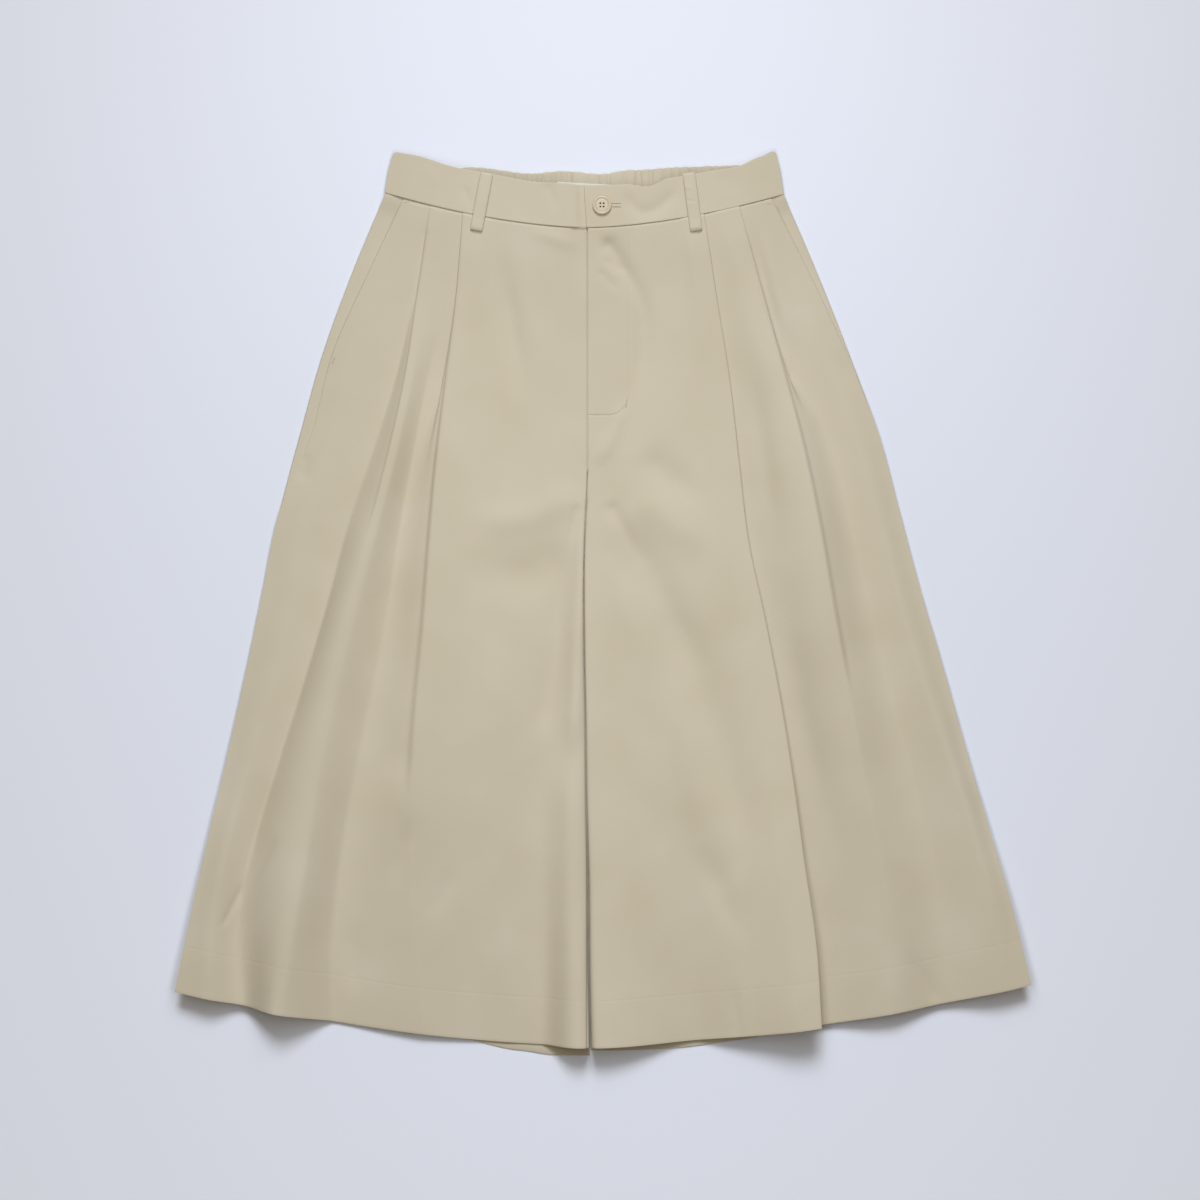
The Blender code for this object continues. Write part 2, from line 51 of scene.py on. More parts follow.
# Sizes that the solids share, in millimetres.
LAYER = 1.4
WAIST_SIDE_RISE = 31.0
FRONT_LENGTH = 737.0
HALF_WAIST = 178.0
WAIST_BULGE = 9.0
BAND_HEIGHT = 37.7
BAND_LEVEL = 5.4
BACK_RISE = 12.5
PLEAT_DEPTH = 14.0
LAP_UNDER_FLY = 12.0
BACK_PAST_FRONT = 0.5
FACING_TUCK = 12.0
BAND_LAP_DROP = 2.2
BACK_BAND_LEFT = 178.0
BACK_BAND_RIGHT = 173.0
BACK_BAND_LEVEL = 1.55
SEAM_GAP = 0.3
LOOP_WIDTH = 10.5
LOOP_BELOW_SEAM = 13.0
BUTTON_X = 13.5
BUTTON_Y = 20.2
BUTTON_RADIUS = 8.6
LABEL_ENDS = (-27.0, 48.0)
LABEL_TOP = 42.5
LABEL_HEIGHT = 26.0
LABEL_SLANT = -4.0

# Stations and ratios that the solids share.
EDGE_CURVE = 1.7
BULGE_END = 0.25
BAND_SIDE_TAPER = 0.035
CROTCH = 0.305
FLY_END = 0.24

# What only shows here, in millimetres: how thick each cloth is, then levels, seams and stitches.
TWILL = 0.8
DOUBLE_TWILL = 1.3
GATHERED_TWILL = 1.1
LOOP_CLOTH = 1.4
LABEL_CLOTH = 0.35
LABEL_LEVEL = 3.75
SEAM_LEVEL = 4.0
SEAM_PUFF = 1.0
FACING_LIFT = 2.5
EDGE_ROLL = 1.2
SIDE_SEAM_SUNK = 0.7
LEAST_HEIGHT = 2.0
HEM_DEPTH = 42.0
STITCH = 2.6
THREAD = 0.42
FLY_STITCH_X = 37.4
FLY_STITCH_LOW = -168.0
FLY_STITCH_TURN = 18.0
LAP_LINE_X = 0.2

# Stations that only show here: how far the cloth tucks under the waistband, how long the waist seam's
# groove is, where the folds start to round off towards the hem and over what length they do so.
SEAM_TUCK = 0.0028
SEAM_GROOVE = 0.0016
ROUNDING_START = 0.78
ROUNDING_LENGTH = 0.16

# Height that the front waistband's top edge gains over an even band: x, gain.
FRONT_TOP_TRIM = (
    (-176.0, 0.0),
    (-150.0, 2.2),
    (-120.0, 0.4),
    (-85.0, 1.2),
    (-50.0, 0.0),
    (-22.0, 1.2),
    (8.0, 0.0),
    (32.0, -0.6),
    (56.0, -5.4),
    (73.0, -0.6),
    (105.0, -1.0),
    (136.0, -3.0),
    (156.0, 0.4),
    (168.0, 2.4),
)
# The back waistband's top edge: x, y.
BACK_TOP = (
    (-174.0, 62.0),
    (-124.0, 54.6),
    (-104.0, 55.6),
    (-50.0, 50.0),
    (-22.0, 52.2),
    (12.0, 49.5),
    (39.0, 53.0),
    (88.0, 55.8),
    (112.0, 56.7),
    (138.0, 57.4),
    (168.0, 64.0),
)

STATIONS = np.linspace(0.0, 1.0, 11)

# Outline of each leg, station by station.
LEFT_OUTLINE = (182.7, 212.6, 238.6, 258.9, 277.9, 293.1, 307.8, 323.5, 339.9, 355.7, 370.3)
RIGHT_OUTLINE = (177.6, 208.1, 236.2, 262.4, 281.8, 300.8, 321.5, 341.1, 361.6, 382.2, 399.2)

# Folds of the front panels. Each row is one line that runs from waist to hem: its place at each
# station, then its height at each station.
LEFT_FOLDS = {
    "inner_edge": (
        (0.0, 0.0, 0.0, 0.2, 3.1, 3.2, 1.9, 1.1, -0.5, -0.9, -2.5),
        (4.4, 4.4, 4.4, 4.6, 6.5, 8.0, 8.8, 10.0, 13.0, 18.0, 24.0),
    ),
    "trough": (
        (60.0, 60.0, 56.0, 46.0, 32.0, 27.0, 34.0, 42.0, 41.0, 40.0, 42.0),
        (4.0, 4.6, 6.0, 6.8, 6.4, 5.6, 5.0, 4.4, 3.8, 3.2, 3.0),
    ),
    "panel_middle": (
        (84.0, 88.0, 90.0, 92.0, 92.0, 94.0, 98.0, 102.0, 104.0, 100.0, 96.0),
        (4.0, 4.6, 7.0, 10.0, 12.0, 12.6, 11.6, 8.8, 5.6, 3.8, 2.8),
    ),
    "inner_crest": (
        (111.7, 117.9, 126.9, 135.2, 141.5, 146.8, 153.6, 158.2, 160.0, 155.0, 147.0),
        (6.8, 7.4, 11.4, 15.4, 17.6, 18.4, 18.0, 15.4, 11.2, 8.4, 6.8),
    ),
    "inner_valley": (
        (115.7, 125.3, 143.0, 157.0, 170.0, 181.0, 195.0, 209.6, 222.0, 230.0, 230.0),
        (4.0, 3.8, 3.4, 3.2, 3.0, 3.0, 2.8, 2.8, 2.6, 2.6, 2.6),
    ),
    "outer_crest": (
        (141.4, 152.6, 163.0, 178.0, 196.0, 214.0, 231.0, 245.8, 257.2, 268.9, 279.0),
        (5.4, 6.4, 11.8, 16.4, 18.8, 19.8, 20.6, 22.6, 25.6, 29.0, 32.0),
    ),
    "outer_valley": (
        (144.4, 156.3, 171.0, 193.0, 216.4, 235.1, 256.1, 278.5, 299.7, 314.0, 310.0),
        (4.0, 4.0, 3.6, 3.2, 3.0, 3.0, 3.0, 3.0, 3.6, 6.4, 8.0),
    ),
    "side_ridge": (
        (156.0, 182.0, 212.0, 232.0, 254.0, 268.0, 284.0, 303.0, 321.0, 337.0, 343.0),
        (4.0, 4.2, 4.6, 5.0, 5.4, 6.0, 7.4, 9.8, 13.8, 18.0, 21.0),
    ),
    "side_edge": (
        (165.6, 199.5, 230.5, 249.5, 277.9, 293.1, 307.8, 323.5, 339.9, 355.7, 370.3),
        (4.0, 4.0, 4.2, 4.0, 3.8, 3.8, 4.6, 6.5, 10.0, 15.0, 19.0),
    ),
}
RIGHT_FOLDS = {
    "inner_edge": (
        (1.0, 1.0, 1.0, 1.0, -2.3, -2.4, -1.1, -0.3, 1.5, 2.1, 3.7),
        (4.4, 4.4, 4.4, 4.4, 6.5, 8.0, 9.0, 11.0, 14.5, 19.0, 25.0),
    ),
    "trough": (
        (48.0, 60.0, 62.0, 50.0, 48.0, 60.0, 72.0, 82.0, 90.0, 96.0, 100.0),
        (4.0, 4.6, 6.0, 7.2, 7.2, 6.8, 6.2, 5.6, 5.0, 4.2, 3.4),
    ),
    "panel_middle": (
        (82.0, 88.0, 96.0, 102.0, 106.0, 114.0, 124.0, 134.0, 140.0, 146.0, 150.0),
        (4.0, 4.6, 5.6, 6.8, 7.6, 8.6, 9.8, 11.8, 14.0, 16.6, 19.0),
    ),
    "inner_crest": (
        (105.3, 116.6, 128.2, 136.7, 145.3, 160.5, 174.2, 185.6, 195.3, 205.5, 210.0),
        (6.8, 7.0, 7.6, 8.6, 9.6, 11.0, 13.5, 17.5, 22.5, 28.0, 33.0),
    ),
    "inner_valley": (
        (108.3, 119.6, 131.2, 139.7, 148.3, 163.5, 177.2, 188.6, 199.3, 212.5, 220.0),
        (4.0, 3.8, 3.6, 3.6, 3.6, 3.8, 4.0, 4.4, 5.0, 5.4, 5.8),
    ),
    "outer_crest": (
        (137.0, 157.2, 176.3, 194.5, 209.3, 221.6, 234.7, 247.6, 262.8, 272.0, 274.0),
        (6.8, 7.8, 13.6, 19.4, 22.2, 22.4, 20.4, 18.4, 17.2, 16.8, 16.6),
    ),
    "outer_valley": (
        (140.0, 160.2, 192.0, 219.0, 238.0, 255.0, 272.0, 290.0, 308.0, 318.0, 318.0),
        (4.0, 4.0, 3.6, 3.2, 3.0, 3.0, 3.0, 3.4, 4.6, 6.2, 7.4),
    ),
    "side_ridge": (
        (154.0, 184.0, 214.0, 242.0, 262.0, 280.0, 300.0, 324.0, 346.0, 366.0, 378.0),
        (4.0, 4.2, 5.4, 6.6, 8.0, 9.4, 11.0, 13.0, 15.0, 17.0, 19.0),
    ),
    "side_edge": (
        (166.0, 201.5, 234.0, 262.4, 281.8, 300.8, 321.5, 341.1, 361.6, 382.2, 399.2),
        (4.0, 4.0, 4.2, 4.0, 3.8, 3.8, 4.6, 6.5, 9.5, 14.0, 18.0),
    ),
}

# Each pleat: the station where it starts to open, the one where it lies open, its depth at the hem.
LEFT_PLEATS = {"inner": (0.02, 0.34, 4.0), "outer": (-0.5, 0.2, 4.0)}
RIGHT_PLEATS = {"inner": (2.0, 3.0, 20.0), "outer": (0.12, 0.27, 4.0)}

# What is left of a pleat's pressed edge once it lies open: its drop, the station where it ends, and
# how much of the slope below it gathers at the valley or, if negative, at the edge.
LEFT_PRESSED = {"inner": (3.8, 0.73, -0.2), "outer": (1.8, 0.42, 0.95)}
RIGHT_PRESSED = {"inner": (0.0, 1.0, 0.0), "outer": (3.6, 0.62, -0.4)}

# How far the back hem hangs below the front one: place, drop.
LEFT_BACK_DROP = ((-9.0, 9.0), (30.0, 9.5), (60.0, 7.0), (120.0, 0.0), (400.0, 0.0))
RIGHT_BACK_DROP = ((-9.0, 4.0), (30.0, 5.5), (80.0, 6.5), (140.0, 5.0), (190.0, 0.0), (430.0, 0.0))

LEFT = {
    "side": -1,
    "outline": LEFT_OUTLINE,
    "folds": LEFT_FOLDS,
    "pleats": LEFT_PLEATS,
    "pressed": LEFT_PRESSED,
    "back_drop": LEFT_BACK_DROP,
    "hem_rise": 50.0,
    "facing_end": 0.46,
    "pocket_end": 0.36,
    "straightness": 0.8,
}
RIGHT = {
    "side": 1,
    "outline": RIGHT_OUTLINE,
    "folds": RIGHT_FOLDS,
    "pleats": RIGHT_PLEATS,
    "pressed": RIGHT_PRESSED,
    "back_drop": RIGHT_BACK_DROP,
    "hem_rise": 56.0,
    "facing_end": 0.3,
    "pocket_end": 0.21,
    "straightness": 0.4,
}


def smooth(amount):
    amount = min(max(amount, 0.0), 1.0)
    return amount * amount * (3.0 - 2.0 * amount)


def smooth_array(amount):
    amount = np.clip(amount, 0.0, 1.0)
    return amount * amount * (3.0 - 2.0 * amount)


def along(values, station):
    """A smooth curve through one value for each of the leg's stations."""
    values = np.array(values)
    slopes = np.gradient(values, STATIONS)
    step = STATIONS[1] - STATIONS[0]
    row = min(int(station / step), len(STATIONS) - 2)
    t = (station - STATIONS[row]) / step
    start = (1.0 + 2.0 * t) * (1.0 - t) ** 2 * values[row] + t * (1.0 - t) ** 2 * step * slopes[row]
    end = t * t * (3.0 - 2.0 * t) * values[row + 1] + t * t * (t - 1.0) * step * slopes[row + 1]
    return float(start + end)


# Creases that are softer or smaller than the folds. Places are millimetres in the working frame:
# start, bend and end. Depth is up or, as a trough, down. Fades are the shares of the length over
# which it dies away at its start and at its end.
# x1, y1, bend x, bend y, x2, y2, depth, width, fade at start, fade at end
LEFT_CREASES = (
    (-78, -12, -70, -90, -51, -175, -3.2, 10, 0.4, 0.5),
    (-56, -2, -30, -6, -4, -20, 1.2, 6, 0.4, 0.4),
    (-3, -230, -56, -280, -118, -254, 1.8, 13, 0.2, 0.4),
    (-8, -276, -55, -340, -108, -292, -3.0, 21, 0.3, 0.4),
    (-9, -246, -12, -268, -15, -300, -1.4, 4, 0.2, 0.6),
    (-2, -252, -7, -380, -14, -480, 3.4, 8, 0.25, 0.2),
    (-20, -280, -24, -380, -46, -464, -2.2, 11, 0.3, 0.2),
    (-12, -450, -17, -600, -18, -737, 3.2, 12, 0.25, 0.0),
    (-46, -440, -46, -560, -50, -737, -1.4, 14, 0.3, 0.0),
    (-157, -525, -166, -565, -176, -600, -1.8, 9, 0.4, 0.5),
    (-146, -4, -152, -40, -157, -88, -0.9, 3, 0.0, 0.5),
    (-277, -543, -292, -575, -322, -618, -1.3, 4, 0.3, 0.4),
    (-308, -585, -318, -608, -330, -632, -1.1, 3, 0.4, 0.2),
    (-211, -620, -211, -660, -210, -695, -1.2, 9, 0.4, 0.4),
    (-118, -572, -130, -600, -144, -625, -1.0, 8, 0.4, 0.4),
    (-252, -200, -256, -215, -257, -232, -1.0, 7, 0.4, 0.4),
)
RIGHT_CREASES = (
    (14, -8, 36, -30, 60, -96, -3.0, 7, 0.15, 0.5),
    (8, -4, 24, -22, 44, -58, -1.0, 4, 0.2, 0.4),
    (44, -46, 58, -100, 44, -160, -3.0, 9, 0.4, 0.4),
    (36, -150, 24, -190, 8, -216, 1.8, 6, 0.3, 0.3),
    (44, -200, 74, -224, 114, -254, -2.8, 14, 0.3, 0.5),
    (40, -238, 76, -262, 118, -300, 1.8, 14, 0.3, 0.4),
    (19, -245, 34, -270, 52, -312, -1.7, 6, 0.15, 0.6),
    (30, -262, 62, -310, 100, -410, -4.6, 17, 0.35, 0.3),
    (16, -290, 36, -340, 62, -420, 1.6, 13, 0.4, 0.5),
    (78, -340, 112, -430, 152, -590, -4.2, 20, 0.3, 0.3),
    (64, -400, 96, -480, 128, -590, 2.0, 20, 0.3, 0.4),
    (100, -552, 122, -596, 142, -650, -2.0, 12, 0.4, 0.4),
    (131, -676, 134, -700, 137, -726, -0.8, 4, 0.4, 0.0),
    (144, -100, 160, -200, 174, -310, -1.8, 9, 0.4, 0.4),
    (147, 12, 157, -40, 179, -122, -2.1, 5, 0.5, 0.25),
    (158, 8, 169, -40, 190, -112, 1.4, 7, 0.4, 0.3),
    (174, -300, 186, -440, 236, -598, -2.0, 12, 0.4, 0.4),
    (284, -648, 302, -675, 322, -704, -1.0, 6, 0.4, 0.3),
    (16, -26, 26, -36, 38, -40, -1.1, 3, 0.2, 0.4),
    (10, -36, 20, -50, 34, -58, -0.9, 3, 0.2, 0.4),
)


def crease_heights(x, y, creases, steps=16):
    """The height that the creases add at each point."""
    total = np.zeros_like(x)
    t = np.linspace(0.0, 1.0, steps + 1)
    for x1, y1, bend_x, bend_y, x2, y2, depth, width, fade_in, fade_out in creases:
        path_x = (1 - t) ** 2 * x1 + 2 * t * (1 - t) * bend_x + t * t * x2
        path_y = (1 - t) ** 2 * y1 + 2 * t * (1 - t) * bend_y + t * t * y2
        margin = 3.0 * width
        near = (
            (x > path_x.min() - margin)
            & (x < path_x.max() + margin)
            & (y > path_y.min() - margin)
            & (y < path_y.max() + margin)
        )
        px, py = x[near], y[near]
        best = np.full(px.shape, 1e9)
        share = np.zeros(px.shape)
        for step in range(steps):
            ax, ay = path_x[step], path_y[step]
            bx, by = path_x[step + 1] - ax, path_y[step + 1] - ay
            along_it = np.clip(((px - ax) * bx + (py - ay) * by) / (bx * bx + by * by), 0.0, 1.0)
            distance = np.hypot(px - ax - along_it * bx, py - ay - along_it * by)
            closer = distance < best
            best = np.where(closer, distance, best)
            share = np.where(closer, (step + along_it) / steps, share)
        strength = np.ones(px.shape)
        if fade_in > 0.0:
            strength *= smooth_array(share / fade_in)
        if fade_out > 0.0:
            strength *= smooth_array((1.0 - share) / fade_out)
        total[near] += depth * strength * np.exp(-((best / width) ** 2))
    return total


def unevenness(x, y, amount):
    """A slow, slight rise and fall, as pressed cotton keeps."""
    wave = np.sin(x / 31.0 + 1.3 * np.sin(y / 57.0)) * np.sin(y / 43.0 + 0.7 * np.sin(x / 39.0))
    ripple = np.sin(x / 13.0 + y / 29.0 + 2.0) * np.sin(y / 17.0 - x / 41.0)
    return amount * (wave + 0.35 * ripple)


def past_table(table, x):
    """A smooth curve through a short table of (x, value) rows."""
    places = [row[0] for row in table]
    values = [row[1] for row in table]
    after = min(max(int(np.searchsorted(places, x)), 1), len(places) - 1)
    share = (x - places[after - 1]) / (places[after] - places[after - 1])
    return values[after - 1] + (values[after] - values[after - 1]) * smooth(share)


def bulge(x, station):
    """The front stands off the back at the waist, most at the centre."""
    across = max(0.0, 1.0 - (x / HALF_WAIST) ** 2)
    return WAIST_BULGE * across * max(0.0, 1.0 - station / BULGE_END) ** 2


def height_up(leg, place, station, waist_middle=0.0, hem_drop=0.0):
    """The y of a place on a leg, on edges that curve up towards the side."""
    curve = (abs(place) / along(leg["outline"], station)) ** EDGE_CURVE
    waist = waist_middle + (WAIST_SIDE_RISE - waist_middle) * curve
    hem = -FRONT_LENGTH - hem_drop + (leg["hem_rise"] + hem_drop) * curve
    return waist * (1.0 - station) + hem * station


def fold_point(leg, name, station):
    """The place and height of one of a leg's folds at a station."""
    places, heights = leg["folds"][name]
    return along(places, station), along(heights, station)


def soft_span(start, end, count, straight=0.0):
    """Points between two folds, without the last one: level at both, unless partly straight."""
    points = []
    for index in range(count):
        t = index / count
        share = straight * t + (1.0 - straight) * smooth(t)
        points.append((start[0] + (end[0] - start[0]) * t, start[1] + (end[1] - start[1]) * share))
    return points


def below_crotch(station):
    """0 above the crotch, where the panels meet, and 1 a little below it, where they have parted."""
    return smooth((station - CROTCH) / 0.05)


def rounded_off(station):
    """How far the folds have lost their pressed shape on the way to the hem, from 0 to 1."""
    return smooth((station - ROUNDING_START) / ROUNDING_LENGTH)


def half_turn(place, middle, outward, steps):
    """Cloth turned back on itself, from the layer above to the one below."""
    radius = 0.5 * LAYER
    points = []
    for step in range(steps + 1):
        angle = math.pi * (0.5 - step / steps)
        turned = place + outward * radius * math.cos(angle)
        points.append((turned, middle + radius * math.sin(angle)))
    return points


# An open pleat: how even its slope is when it gathers at the valley or at the edge, the stations over
# which a gathered valley deepens, the length over which a pressed edge ends, and its share of a slope.
EVEN_TO_VALLEY = 0.35
EVEN_TO_EDGE = 0.8
VALLEY_START = 0.25
VALLEY_LENGTH = 0.35
PRESSED_FADE = 0.07
PRESSED_SHARE = 0.09


def open_fall(slope, station, at_valley):
    """How far an open pleat has fallen, from 0 at its crest to 1 at its valley. `slope` is the share of
    the way, and `at_valley` how much of the fall gathers at the valley or, if negative, at the edge."""
    gathered = abs(at_valley) * (1.0 - rounded_off(station))
    if at_valley > 0.0:
        bent = slope * slope
        least = EVEN_TO_VALLEY
        gathered *= smooth((station - VALLEY_START) / VALLEY_LENGTH)
    else:
        bent = 1.0 - (1.0 - slope) ** 2
        least = EVEN_TO_EDGE
    rounding = least + (1.0 - least) * rounded_off(station)
    even = rounding * smooth(slope) + (1.0 - rounding) * slope
    return (1.0 - gathered) * even + gathered * bent


def pleat(leg, which, station, turn_steps=6, layer_steps=5):
    """A knife pleat from its crest back under the panel and out to its valley, as it opens. The first
    point returned is the panel's last one before it turns over the crest."""
    opens_at, open_at, hem_depth = leg["pleats"][which]
    crest, top = fold_point(leg, which + "_crest", station)
    valley, low = fold_point(leg, which + "_valley", station)
    opened = smooth((station - opens_at) / (open_at - opens_at))
    depth = PLEAT_DEPTH + (hem_depth - PLEAT_DEPTH) * station
    radius = 0.5 * LAYER
    crest_turn = half_turn(crest - radius, top - radius, 1.0, turn_steps)
    under_turn = half_turn(crest - depth + radius, low + radius, -1.0, turn_steps)
    folded = crest_turn
    folded += soft_span(crest_turn[-1], under_turn[0], layer_steps)[1:]
    folded += under_turn
    folded += soft_span(under_turn[-1], (valley, low), layer_steps)[1:]
    edge_drop, edge_end, at_valley = leg["pressed"][which]
    edge_drop *= 1.0 - smooth((station - edge_end) / PRESSED_FADE + 1.0)
    edge_share = edge_drop / (top - low)
    points = []
    for step, (place, height) in enumerate(folded):
        slope = step / len(folded)
        fall = open_fall(slope, station, at_valley)
        fall = edge_share * smooth(slope / PRESSED_SHARE) + (1.0 - edge_share) * fall
        flat_place = crest + (valley - crest) * slope
        flat_height = top + (low - top) * fall
        points.append((place + (flat_place - place) * opened, height + (flat_height - height) * opened))
    points.append((valley, low))
    reach = (crest - (depth + 2.0) * (1.0 - opened) - 6.0 * opened, top - 0.8 * opened)
    return reach, points


def inner_fold(leg, station, steps=9, width=8.0, bottom=1.7):
    """The panel's inner edge: lapped or seamed above the crotch, turned down to the back below it."""
    edge, level = fold_point(leg, "inner_edge", station)
    turned = below_crotch(station)
    lap = 0.0
    if leg["side"] < 0:
        lap = LAP_UNDER_FLY * smooth((CROTCH - station) / (CROTCH - FLY_END))
        level -= LAYER * (1.0 - turned)
    reach_in = min(0.5 * (level - bottom), 5.0)
    points = []
    for step in range(steps + 1):
        t = step / steps
        flat = (edge - lap + (width + lap) * t, level)
        lift = math.sin(math.pi * 0.5 * t)
        down = (
            edge + reach_in * (1.0 - lift ** 0.7) * 0.2 + width * t ** 3,
            bottom + (level - bottom) * lift ** 0.65,
        )
        points.append(tuple(np.array(flat) * (1.0 - turned) + np.array(down) * turned))
    return points


def under_lap(x):
    """The left half of the waistband dips under the right half at the button."""
    return BAND_LAP_DROP * smooth((x + 12.0) / 9.0)


def settled_at_waist(leg, station, line):
    """A section's line as the waist seam leaves it: the folds pressed flat, the left half dipping under
    the right one's lap, the cloth puffed up below the seam but sunk at the fly, and the bulge."""
    on_left = leg["side"] < 0
    under = smooth((station + SEAM_TUCK) / (SEAM_TUCK + SEAM_GROOVE))
    stand = 0.5 * under + 0.5 * smooth(station / 0.05)
    near_seam = 1.0 - smooth(station / 0.012)
    puff = SEAM_PUFF * smooth(station / SEAM_GROOVE) * (1.0 - smooth(station / 0.09))
    at_fly = -0.8 if on_left else 1.0
    settled = []
    for place, height in line:
        height = SEAM_LEVEL + (height - SEAM_LEVEL) * stand
        if on_left and stand > 0.6:
            height -= under_lap(-place) * near_seam
        puffed = puff * (at_fly + (1.0 - at_fly) * smooth((place - 8.0) / 8.0))
        settled.append((place, height + puffed + bulge(place, station)))
    return settled


def front_section(leg, station, roll_steps=4):
    """The line of the cloth across one front panel, from its inner edge to its side."""
    line = inner_fold(leg, station)
    trough = fold_point(leg, "trough", station)
    middle = fold_point(leg, "panel_middle", station)
    reach, inner_pleat = pleat(leg, "inner", station)
    if reach[0] < middle[0] + 3.0:
        middle = (reach[0] - 3.0, middle[1])
    line += soft_span(line[-1], trough, 14)[1:]
    line += soft_span(trough, middle, 16, 0.6)
    line += soft_span(middle, reach, 12, 0.9)
    line += soft_span(reach, inner_pleat[0], 4)
    line += inner_pleat[:-1]
    reach, outer_pleat = pleat(leg, "outer", station)
    line += soft_span(inner_pleat[-1], reach, 16, leg["straightness"])
    line += soft_span(reach, outer_pleat[0], 4)
    line += outer_pleat[:-1]
    ridge = fold_point(leg, "side_ridge", station)
    line += soft_span(outer_pleat[-1], ridge, 16, 0.9 * (1.0 - rounded_off(station)))
    edge, level = fold_point(leg, "side_edge", station)
    level -= SIDE_SEAM_SUNK * smooth((station - 0.19) / 0.03)
    line += soft_span(ridge, (edge - EDGE_ROLL, level), 12)
    roll = EDGE_ROLL * (1.0 - smooth((station - leg["pocket_end"]) / 0.04 + 1.0))
    for step in range(roll_steps + 1):
        angle = 0.5 * math.pi * step / roll_steps
        place = edge - EDGE_ROLL * (1.0 - math.sin(angle))
        line.append((place, level - roll * (1.0 - math.cos(angle))))
    return settled_at_waist(leg, station, line)


def eased(grid, rounds, share):
    """Takes the hardness off a grid's folds, along each section."""
    for _ in range(rounds):
        middle = 0.5 * (grid[:, :-2] + grid[:, 2:])
        grid[:, 1:-1] += share * (middle - grid[:, 1:-1])
    return grid


def grid_of(rows, columns, point):
    """A grid of points. `point` takes the share of the way down the rows and across the columns."""
    return np.array([
        [point(row / rows, column / columns) for column in range(columns + 1)]
        for row in range(rows + 1)
    ])


def place_at(x, y, height):
    """A point of the working frame, in metres of the part's."""
    return (x + FRAME_X) * MM, (y + FRAME_Y) * MM, height * MM


def place_grid(grid):
    """Takes a grid from the working frame to the part's, in metres."""
    return (grid + (FRAME_X, FRAME_Y, 0.0)) * MM


def choose(*things):
    """Selects these pieces alone and makes the first one active."""
    bpy.ops.object.select_all(action="DESELECT")
    for thing in things:
        thing.select_set(True)
    bpy.context.view_layer.objects.active = things[0]


def apply_modifier(piece, kind, **settings):
    choose(piece)
    modifier = piece.modifiers.new(kind.lower(), kind)
    for name, value in settings.items():
        setattr(modifier, name, value)
    bpy.ops.object.modifier_apply(modifier=modifier.name)
    piece.select_set(False)


def bevel(piece, width, degrees):
    """Softens the edges that turn by more than some degrees."""
    apply_modifier(
        piece,
        "BEVEL",
        width=width * MM,
        segments=2,
        limit_method="ANGLE",
        angle_limit=math.radians(degrees),
        offset_type="OFFSET",
    )


def lengths(placed, axis):
    """Distance run along one axis of a grid, from its first points."""
    steps = np.linalg.norm(np.diff(placed, axis=axis), axis=2)
    return np.concatenate([np.zeros_like(np.take(steps, [0], axis)), np.cumsum(steps, axis)], axis)


def cloth(name, grid, thickness, material, flip, edge):
    """A sheet of cloth from a grid of points in the working frame, with soft edges. Its first UV runs
    over the cloth in metres, and its second gives the distance up from the hem."""
    placed = place_grid(grid)
    rows, columns = placed.shape[:2]
    across = lengths(placed, 1)
    down = lengths(placed, 0)
    index = np.arange(rows * columns).reshape(rows, columns)
    faces = np.stack([index[:-1, :-1], index[:-1, 1:], index[1:, 1:], index[1:, :-1]], axis=-1)
    faces = faces.reshape(-1, 4)
    if flip:
        faces = faces[:, ::-1]
    mesh = bpy.data.meshes.new(name)
    mesh.from_pydata(placed.reshape(-1, 3).tolist(), [], faces.tolist())
    corners = faces.reshape(-1)
    for layer, first, second in (("cloth", across, down), ("hem", across, down[-1:] - down)):
        uv = mesh.uv_layers.new(name=layer)
        pairs = np.stack([first.reshape(-1)[corners], second.reshape(-1)[corners]], axis=-1)
        uv.data.foreach_set("uv", pairs.astype(np.float32).reshape(-1))
    mesh.materials.append(material)
    piece = bpy.data.objects.new(name, mesh)
    bpy.context.scene.collection.objects.link(piece)
    apply_modifier(piece, "SOLIDIFY", thickness=thickness * MM, offset=0.0, use_rim=True)
    bevel(piece, width=edge, degrees=62.0)
    piece.data.shade_smooth()
    return piece


def cloth_size(grid):
    """Width and length of the flat cut: the longest line of points across and the longest down."""
    placed = place_grid(grid)
    return float(lengths(placed, 1)[:, -1].max()), float(lengths(placed, 0)[-1].max())


def sew_on(piece, grid, node_name, held="laid", rests_on=(), slot="twill"):
    """Hangs a cloth piece on the garment's root, hides the solid it stands for, and works out the size
    of its flat cut.
    """
    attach(piece, "root")
    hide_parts(node_name)
    size = cloth_size(grid)


def sewn_cloth(name, grid, thickness, material, flip=True, edge=0.3, **sewing):
    """The cloth that stands for the solid of that name."""
    piece = cloth(name + "_cloth", grid, thickness, material, flip, edge)
    sew_on(piece, grid, name, **sewing)
    return piece


def linear(code):
    """A hex colour as linear light."""
    parts = [int(code[start:start + 2], 16) / 255.0 for start in (1, 3, 5)]
    return tuple(p / 12.92 if p <= 0.04045 else ((p + 0.055) / 1.055) ** 2.4 for p in parts) + (1.0,)


def node(material, kind, links=None, **settings):
    """Adds a node. `links` maps its inputs to other nodes, whose first output they take, to one named
    output of a node, or to plain values."""
    made = material.node_tree.nodes.new(kind)
    for name, value in settings.items():
        setattr(made, name, value)
    for name, value in (links or {}).items():
        if isinstance(value, bpy.types.Node):
            value = value.outputs[0]
        if isinstance(value, bpy.types.NodeSocket):
            material.node_tree.links.new(value, made.inputs[name])
        else:
            made.inputs[name].default_value = value
    return made


def shader_of(material):
    return material.node_tree.nodes["Principled BSDF"]


def new_material(name):
    material = bpy.data.materials.new(name)
    material.use_nodes = True
    return material


MATH = "ShaderNodeMath"


